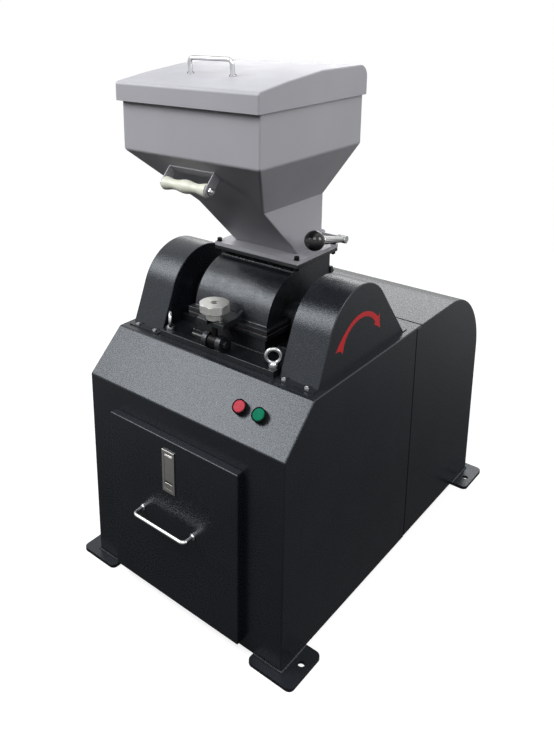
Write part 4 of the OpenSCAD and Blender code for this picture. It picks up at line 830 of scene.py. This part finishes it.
class MILL_OT_feed(bpy.types.Operator):
    """Finishes the feed flap with its lever and ball, and the tipping grip"""

    bl_idname = "mill.feed"
    bl_label = "Feed lever and grip"

    def execute(self, context):
        dress(("feed_flap", "bright", FLAP_EDGE, 1), ("flap_shaft", "bright", FITTING, 2))
        bm = merged("flap_lever")
        rounded(bm, convex(sharp(bm)), LEVER_EDGE, 2, clamp=False)
        hub, knob = middle("flap_shaft"), middle("lever_ball")
        hub.x = knob.x
        reach, arm = (knob - hub).length, (knob - hub).normalized()
        for vert in bm.verts:
            along = (vert.co - hub).dot(arm)
            if along <= LEVER_HUB:
                away = Vector((0, vert.co.y - hub.y, vert.co.z - hub.z))
                if away.length > HUB_BORE:
                    vert.co -= away.normalized() * (away.length - HUB_BORE) * HUB_SLIM
            else:
                centre = hub + arm * along
                away = vert.co - centre
                share = min(1.0, (along - LEVER_HUB) / (reach * LEVER_GROWS))
                away *= 1 + LEVER_SWELL * share
                vert.co = centre + Vector((away.x * LEVER_FLAT, away.y, away.z))
        piece("flap_lever_finished", bm, "lever", body_of("flap_lever"), "flap_lever")
        dress(("lever_ball", "ball", MACHINED, 2), ("grip_bracket", "grey", MACHINED, 2))
        softened("grip_bolt", "zinc", FITTING)
        dressed("grip", "cream", GRIP_EDGE, 3)
        return {"FINISHED"}


# Edge radius of the caps, inner and outer radius of the black ring of painted shade round a cap,
# and the ring's upper and lower end below the cap's face
CAP_EDGE, SHADE_RING_R, SHADE_RING_SPAN = 0.0010, (0.0124, 0.0142), (0.0003, 0.0050)
# Depth within which a cap's points count as its face
CAP_FACE = 0.0002
# Direction up the sloped panel
PANEL_RUN = Vector((0, 0.088, 0.081)).normalized()


def ring(centre, axis, radii, height):
    """A bevelled ring that stands on a centre point"""
    bm = bmesh.new()
    turn = Z.rotation_difference(axis).to_matrix().to_4x4()
    bmesh.ops.create_circle(
        bm, cap_ends=True, segments=48, radius=radii[1], matrix=Matrix.Translation(centre) @ turn
    )
    bmesh.ops.inset_region(
        bm, faces=bm.faces[:], use_boundary=True, use_even_offset=True,
        thickness=radii[1] - radii[0],
    )
    inner = [f for f in bm.faces if len(f.verts) > 4]
    bmesh.ops.delete(bm, geom=inner, context="FACES")
    raised = bmesh.ops.extrude_face_region(bm, geom=bm.faces[:])["geom"]
    top = [part for part in raised if isinstance(part, bmesh.types.BMVert)]
    bmesh.ops.translate(bm, verts=top, vec=axis * height)
    bmesh.ops.recalc_face_normals(bm, faces=bm.faces)
    rounded(bm, sharp(bm), SHADE_PIECE_EDGE, 2)
    return bm


class MILL_OT_buttons(bpy.types.Operator):
    """Finishes the push buttons"""

    bl_idname = "mill.buttons"
    bl_label = "Buttons"

    def execute(self, context):
        bm = merged("button_bezels")
        rounded(bm, convex(sharp(bm)), MACHINED, 2)
        piece("button_bezels_finished", bm, "black", "base", "button_bezels")
        dress(("stop_button", "red", CAP_EDGE, 3), ("start_button", "green", CAP_EDGE, 3))
        outward, (near_end, far_end) = X.cross(PANEL_RUN), SHADE_RING_SPAN
        # A matt black ring round each cap: painted shade standing in for the shaded side of cap and
        # bezel
        bm = bmesh.new()
        for node in ("stop_button", "start_button"):
            points = [v.co for v in NODES[node].data.vertices]
            top = max(point.dot(outward) for point in points)
            crown = [point for point in points if point.dot(outward) > top - CAP_FACE]
            face = sum(crown, Vector()) / len(crown)
            join(bm, ring(face - outward * far_end, outward, SHADE_RING_R, far_end - near_end))
        piece("button_collars", bm, "shade_black", "base")
        return {"FINISHED"}


class MILL_OT_inside(bpy.types.Operator):
    """Finishes the rotor, the drive and the other parts inside"""

    bl_idname = "mill.inside"
    bl_label = "Rotor and drive"

    def execute(self, context):
        inner = {
            "bright": ("sieve", "rotor_shaft", "rotor_discs", "hammer_pins", "motor_shaft"),
            "hard": ("hammers_1", "hammers_2", "hammers_3", "hammers_4"),
            "iron": ("rotor_pulley", "flywheel", "motor_pulley"),
            "sheet": ("discharge_chute",),
            "motor": ("motor",),
            "belt": ("drive_belts",),
        }
        for material, nodes in inner.items():
            for node in nodes:
                recolour(node, material)
        return {"FINISHED"}


# ---- stage ----
# The camera's place, its turn, drop and roll in degrees, its focal length and its shift
CAMERA_PLACE = Vector((0.88140, -1.34004, 1.20331))
CAMERA_TURN, CAMERA_DROP, CAMERA_ROLL = 42.3818, 15.1612, -0.9955
FOCAL_PIXELS, LONG_SIDE = 748.056, 736
CAMERA_SHIFT = (0.12, -0.22)
# Colours of the light from overhead and of the floor where it takes shadows
SKY_TINT, FLOOR_TINT = (0.93, 0.96, 1.0), (0.35, 0.35, 0.35)
# Distances from the mill over which the floor fades to white, and over which its reflection grows
# out of a painted shadow at the feet
FADE, MIRROR_SHADOW_SPAN = (1.0, 3.2), (0.4, 3.6)
# Half the floor's side
FLOOR_HALF = 14
# Heights of a ray's direction between which the sky grows from its horizon to its full strength
SKY_RISE = (0.1, 0.8)
# Lamps: the setting with the power, place, point aimed at, width and height
LAMPS = (
    ("top", (-0.2, 0.3, 2.9), (0, 0, 0.8), 2.4, 2.0),
    ("left", (-1.30, -1.60, 2.25), (0, -0.37, 0.49), 1.7, 1.3),
    ("front", (1.3, -1.9, 2.6), (0, -0.1, 0.8), 1.4, 1.2),
    ("right", (2.3, 0.35, 1.9), (0, 0, 0.8), 1.1, 1.1),
    ("rear", (-0.9, 2.2, 1.5), (0, 0, 0.6), 2.2, 0.6),
)


class MILL_OT_stage(bpy.types.Operator):
    """Sets up the floor, the lamps, the world and the camera"""

    bl_idname = "mill.stage"
    bl_label = "Stage"

    def execute(self, context):
        scene = context.scene
        scene.view_settings.view_transform = "Standard"
        values = scene.mill_stage
        self.camera(scene)
        self.floor(scene, values)
        for setting, place, aim, width, height in LAMPS:
            self.lamp(setting + "_lamp", place, aim, width, height, getattr(values, setting))
        self.world(scene, values)
        return {"FINISHED"}

    def camera(self, scene):
        camera = bpy.data.cameras.new("camera")
        camera.sensor_width = 36
        camera.lens = FOCAL_PIXELS * camera.sensor_width / LONG_SIDE
        camera.shift_x, camera.shift_y = CAMERA_SHIFT
        camera.clip_end = 50
        holder = bpy.data.objects.new("camera", camera)
        scene.collection.objects.link(holder)
        scene.camera = holder
        turn, drop, roll = map(math.radians, (CAMERA_TURN, CAMERA_DROP, CAMERA_ROLL))
        level = Vector((math.cos(turn), math.sin(turn), 0))
        ahead = Z.cross(level) * math.cos(drop) - Z * math.sin(drop)
        upward = level.cross(ahead)
        right = level * math.cos(roll) + upward * math.sin(roll)
        up = upward * math.cos(roll) - level * math.sin(roll)
        facing = Matrix((right, up, -ahead)).transposed().to_4x4()
        holder.matrix_world = Matrix.Translation(CAMERA_PLACE) @ facing

    def lamp(self, name, place, aim, width, height, power):
        light = bpy.data.lights.new(name, "AREA")
        light.shape = "RECTANGLE"
        light.size, light.size_y, light.energy = width, height, power
        holder = bpy.data.objects.new(name, light)
        holder.location = place
        holder.rotation_mode = "QUATERNION"
        holder.rotation_quaternion = (Vector(aim) - Vector(place)).to_track_quat("-Z", "Y")
        bpy.context.scene.collection.objects.link(holder)

    def floor(self, scene, values):
        bm = bmesh.new()
        bmesh.ops.create_grid(bm, x_segments=1, y_segments=1, size=FLOOR_HALF)
        mesh = bpy.data.meshes.new("floor")
        bm.to_mesh(mesh)
        bm.free()
        obj = bpy.data.objects.new("floor", mesh)
        scene.collection.objects.link(obj)
        material = bpy.data.materials.new("floor")
        material.use_nodes = True
        tree = material.node_tree
        tree.nodes.clear()
        new, link = tree.nodes.new, tree.links.new
        out, mix, seen, glow, lit, unseen, spot, away, tint = (
            new("ShaderNode" + kind) for kind in (
                "OutputMaterial", "MixShader", "AddShader", "Emission", "BsdfDiffuse",
                "BsdfDiffuse", "TexCoord", "VectorMath", "Mix",
            )
        )
        away.operation = "LENGTH"
        link(spot.outputs["Object"], away.inputs[0])
        brightness = self.ramp(tree, away.outputs["Value"], FADE, (values.glow, 1.0))
        link(brightness, glow.inputs["Strength"])
        tint.data_type = "RGBA"
        tint.inputs["A"].default_value = (*FLOOR_TINT, 1)
        tint.inputs["B"].default_value = (0, 0, 0, 1)
        link(self.ramp(tree, away.outputs["Value"], FADE, (0, 1)), tint.inputs["Factor"])
        link(tint.outputs["Result"], lit.inputs["Color"])
        unseen.inputs["Color"].default_value = (values.floor, values.floor, values.floor, 1)
        link(glow.outputs[0], seen.inputs[0])
        link(lit.outputs[0], seen.inputs[1])
        # Painted shadow: glossy rays see the floor near the mill mostly as the dark floor, standing
        # in for the mill's shadow on it
        ends = values.mirror_shadowed_foot, values.mirror
        mirrored = self.ramp(tree, away.outputs["Value"], MIRROR_SHADOW_SPAN, ends)
        link(self.shown(tree, mirrored), mix.inputs["Fac"])
        link(unseen.outputs[0], mix.inputs[1])
        link(seen.outputs[0], mix.inputs[2])
        link(mix.outputs[0], out.inputs["Surface"])
        mesh.materials.append(material)

    def ramp(self, tree, value, span, ends):
        """A smooth change from one end to the other over a span of distance"""
        node = tree.nodes.new("ShaderNodeMapRange")
        node.interpolation_type = "SMOOTHSTEP"
        for name, number in zip(RANGE, (*span, *ends)):
            node.inputs[name].default_value = number
        tree.links.new(value, node.inputs["Value"])
        return node.outputs["Result"]

    def shown(self, tree, mirrored):
        """One for camera and transmission rays, and a share for glossy rays"""
        new, link = tree.nodes.new, tree.links.new
        path = new("ShaderNodeLightPath")
        share, first, second = (new("ShaderNodeMath") for _ in range(3))
        share.operation = "MULTIPLY"
        if isinstance(mirrored, float):
            share.inputs[1].default_value = mirrored
        else:
            link(mirrored, share.inputs[1])
        first.operation = second.operation = "MAXIMUM"
        link(path.outputs["Is Glossy Ray"], share.inputs[0])
        link(path.outputs["Is Camera Ray"], first.inputs[0])
        link(path.outputs["Is Transmission Ray"], first.inputs[1])
        link(first.outputs[0], second.inputs[0])
        link(share.outputs[0], second.inputs[1])
        return second.outputs[0]

    def world(self, scene, values):
        world = bpy.data.worlds.new("studio")
        scene.world = world
        world.use_nodes = True
        tree = world.node_tree
        tree.nodes.clear()
        new, link = tree.nodes.new, tree.links.new
        out, mix, white, soft, place, split, rise = (
            new("ShaderNode" + kind) for kind in (
                "OutputWorld", "MixShader", "Background", "Background", "TexCoord",
                "SeparateXYZ", "MapRange",
            )
        )
        white.inputs["Strength"].default_value = 1.0
        white.inputs["Color"].default_value = (1, 1, 1, 1)
        soft.inputs["Color"].default_value = (*SKY_TINT, 1)
        for name, value in zip(RANGE, (*SKY_RISE, values.horizon, values.sky)):
            rise.inputs[name].default_value = value
        link(place.outputs["Generated"], split.inputs[0])
        link(split.outputs["Z"], rise.inputs["Value"])
        link(rise.outputs["Result"], soft.inputs["Strength"])
        link(self.shown(tree, 1.0), mix.inputs["Fac"])
        link(soft.outputs[0], mix.inputs[1])
        link(white.outputs[0], mix.inputs[2])
        link(mix.outputs[0], out.inputs["Surface"])


class MILL_PT_panel(bpy.types.Panel):
    """Lists the mill's operators"""

    bl_label = "Grain mill"
    bl_idname = "MILL_PT_panel"
    bl_space_type = "VIEW_3D"
    bl_region_type = "UI"
    bl_category = "Grain mill"

    def draw(self, context):
        for operator in OPERATORS:
            self.layout.operator(operator.bl_idname)


OPERATORS = (
    MILL_OT_stage, MILL_OT_cabinet, MILL_OT_feet, MILL_OT_guards, MILL_OT_hopper, MILL_OT_drawer,
    MILL_OT_casing, MILL_OT_clamp, MILL_OT_eyes, MILL_OT_feed, MILL_OT_buttons, MILL_OT_inside,
)
CLASSES = tuple(group for _, group in GROUPS) + OPERATORS + (MILL_PT_panel,)


def register():
    for item in CLASSES:
        bpy.utils.register_class(item)
    for name, group in GROUPS:
        setattr(bpy.types.Scene, name, PointerProperty(type=group))


def unregister():
    for name, _ in GROUPS:
        delattr(bpy.types.Scene, name)
    for item in reversed(CLASSES):
        bpy.utils.unregister_class(item)


def main():
    register()
    for operator in OPERATORS:
        group, name = operator.bl_idname.split(".")
        getattr(getattr(bpy.ops, group), name)()
    bpy.context.view_layer.update()


if __name__ == "__main__":
    main()
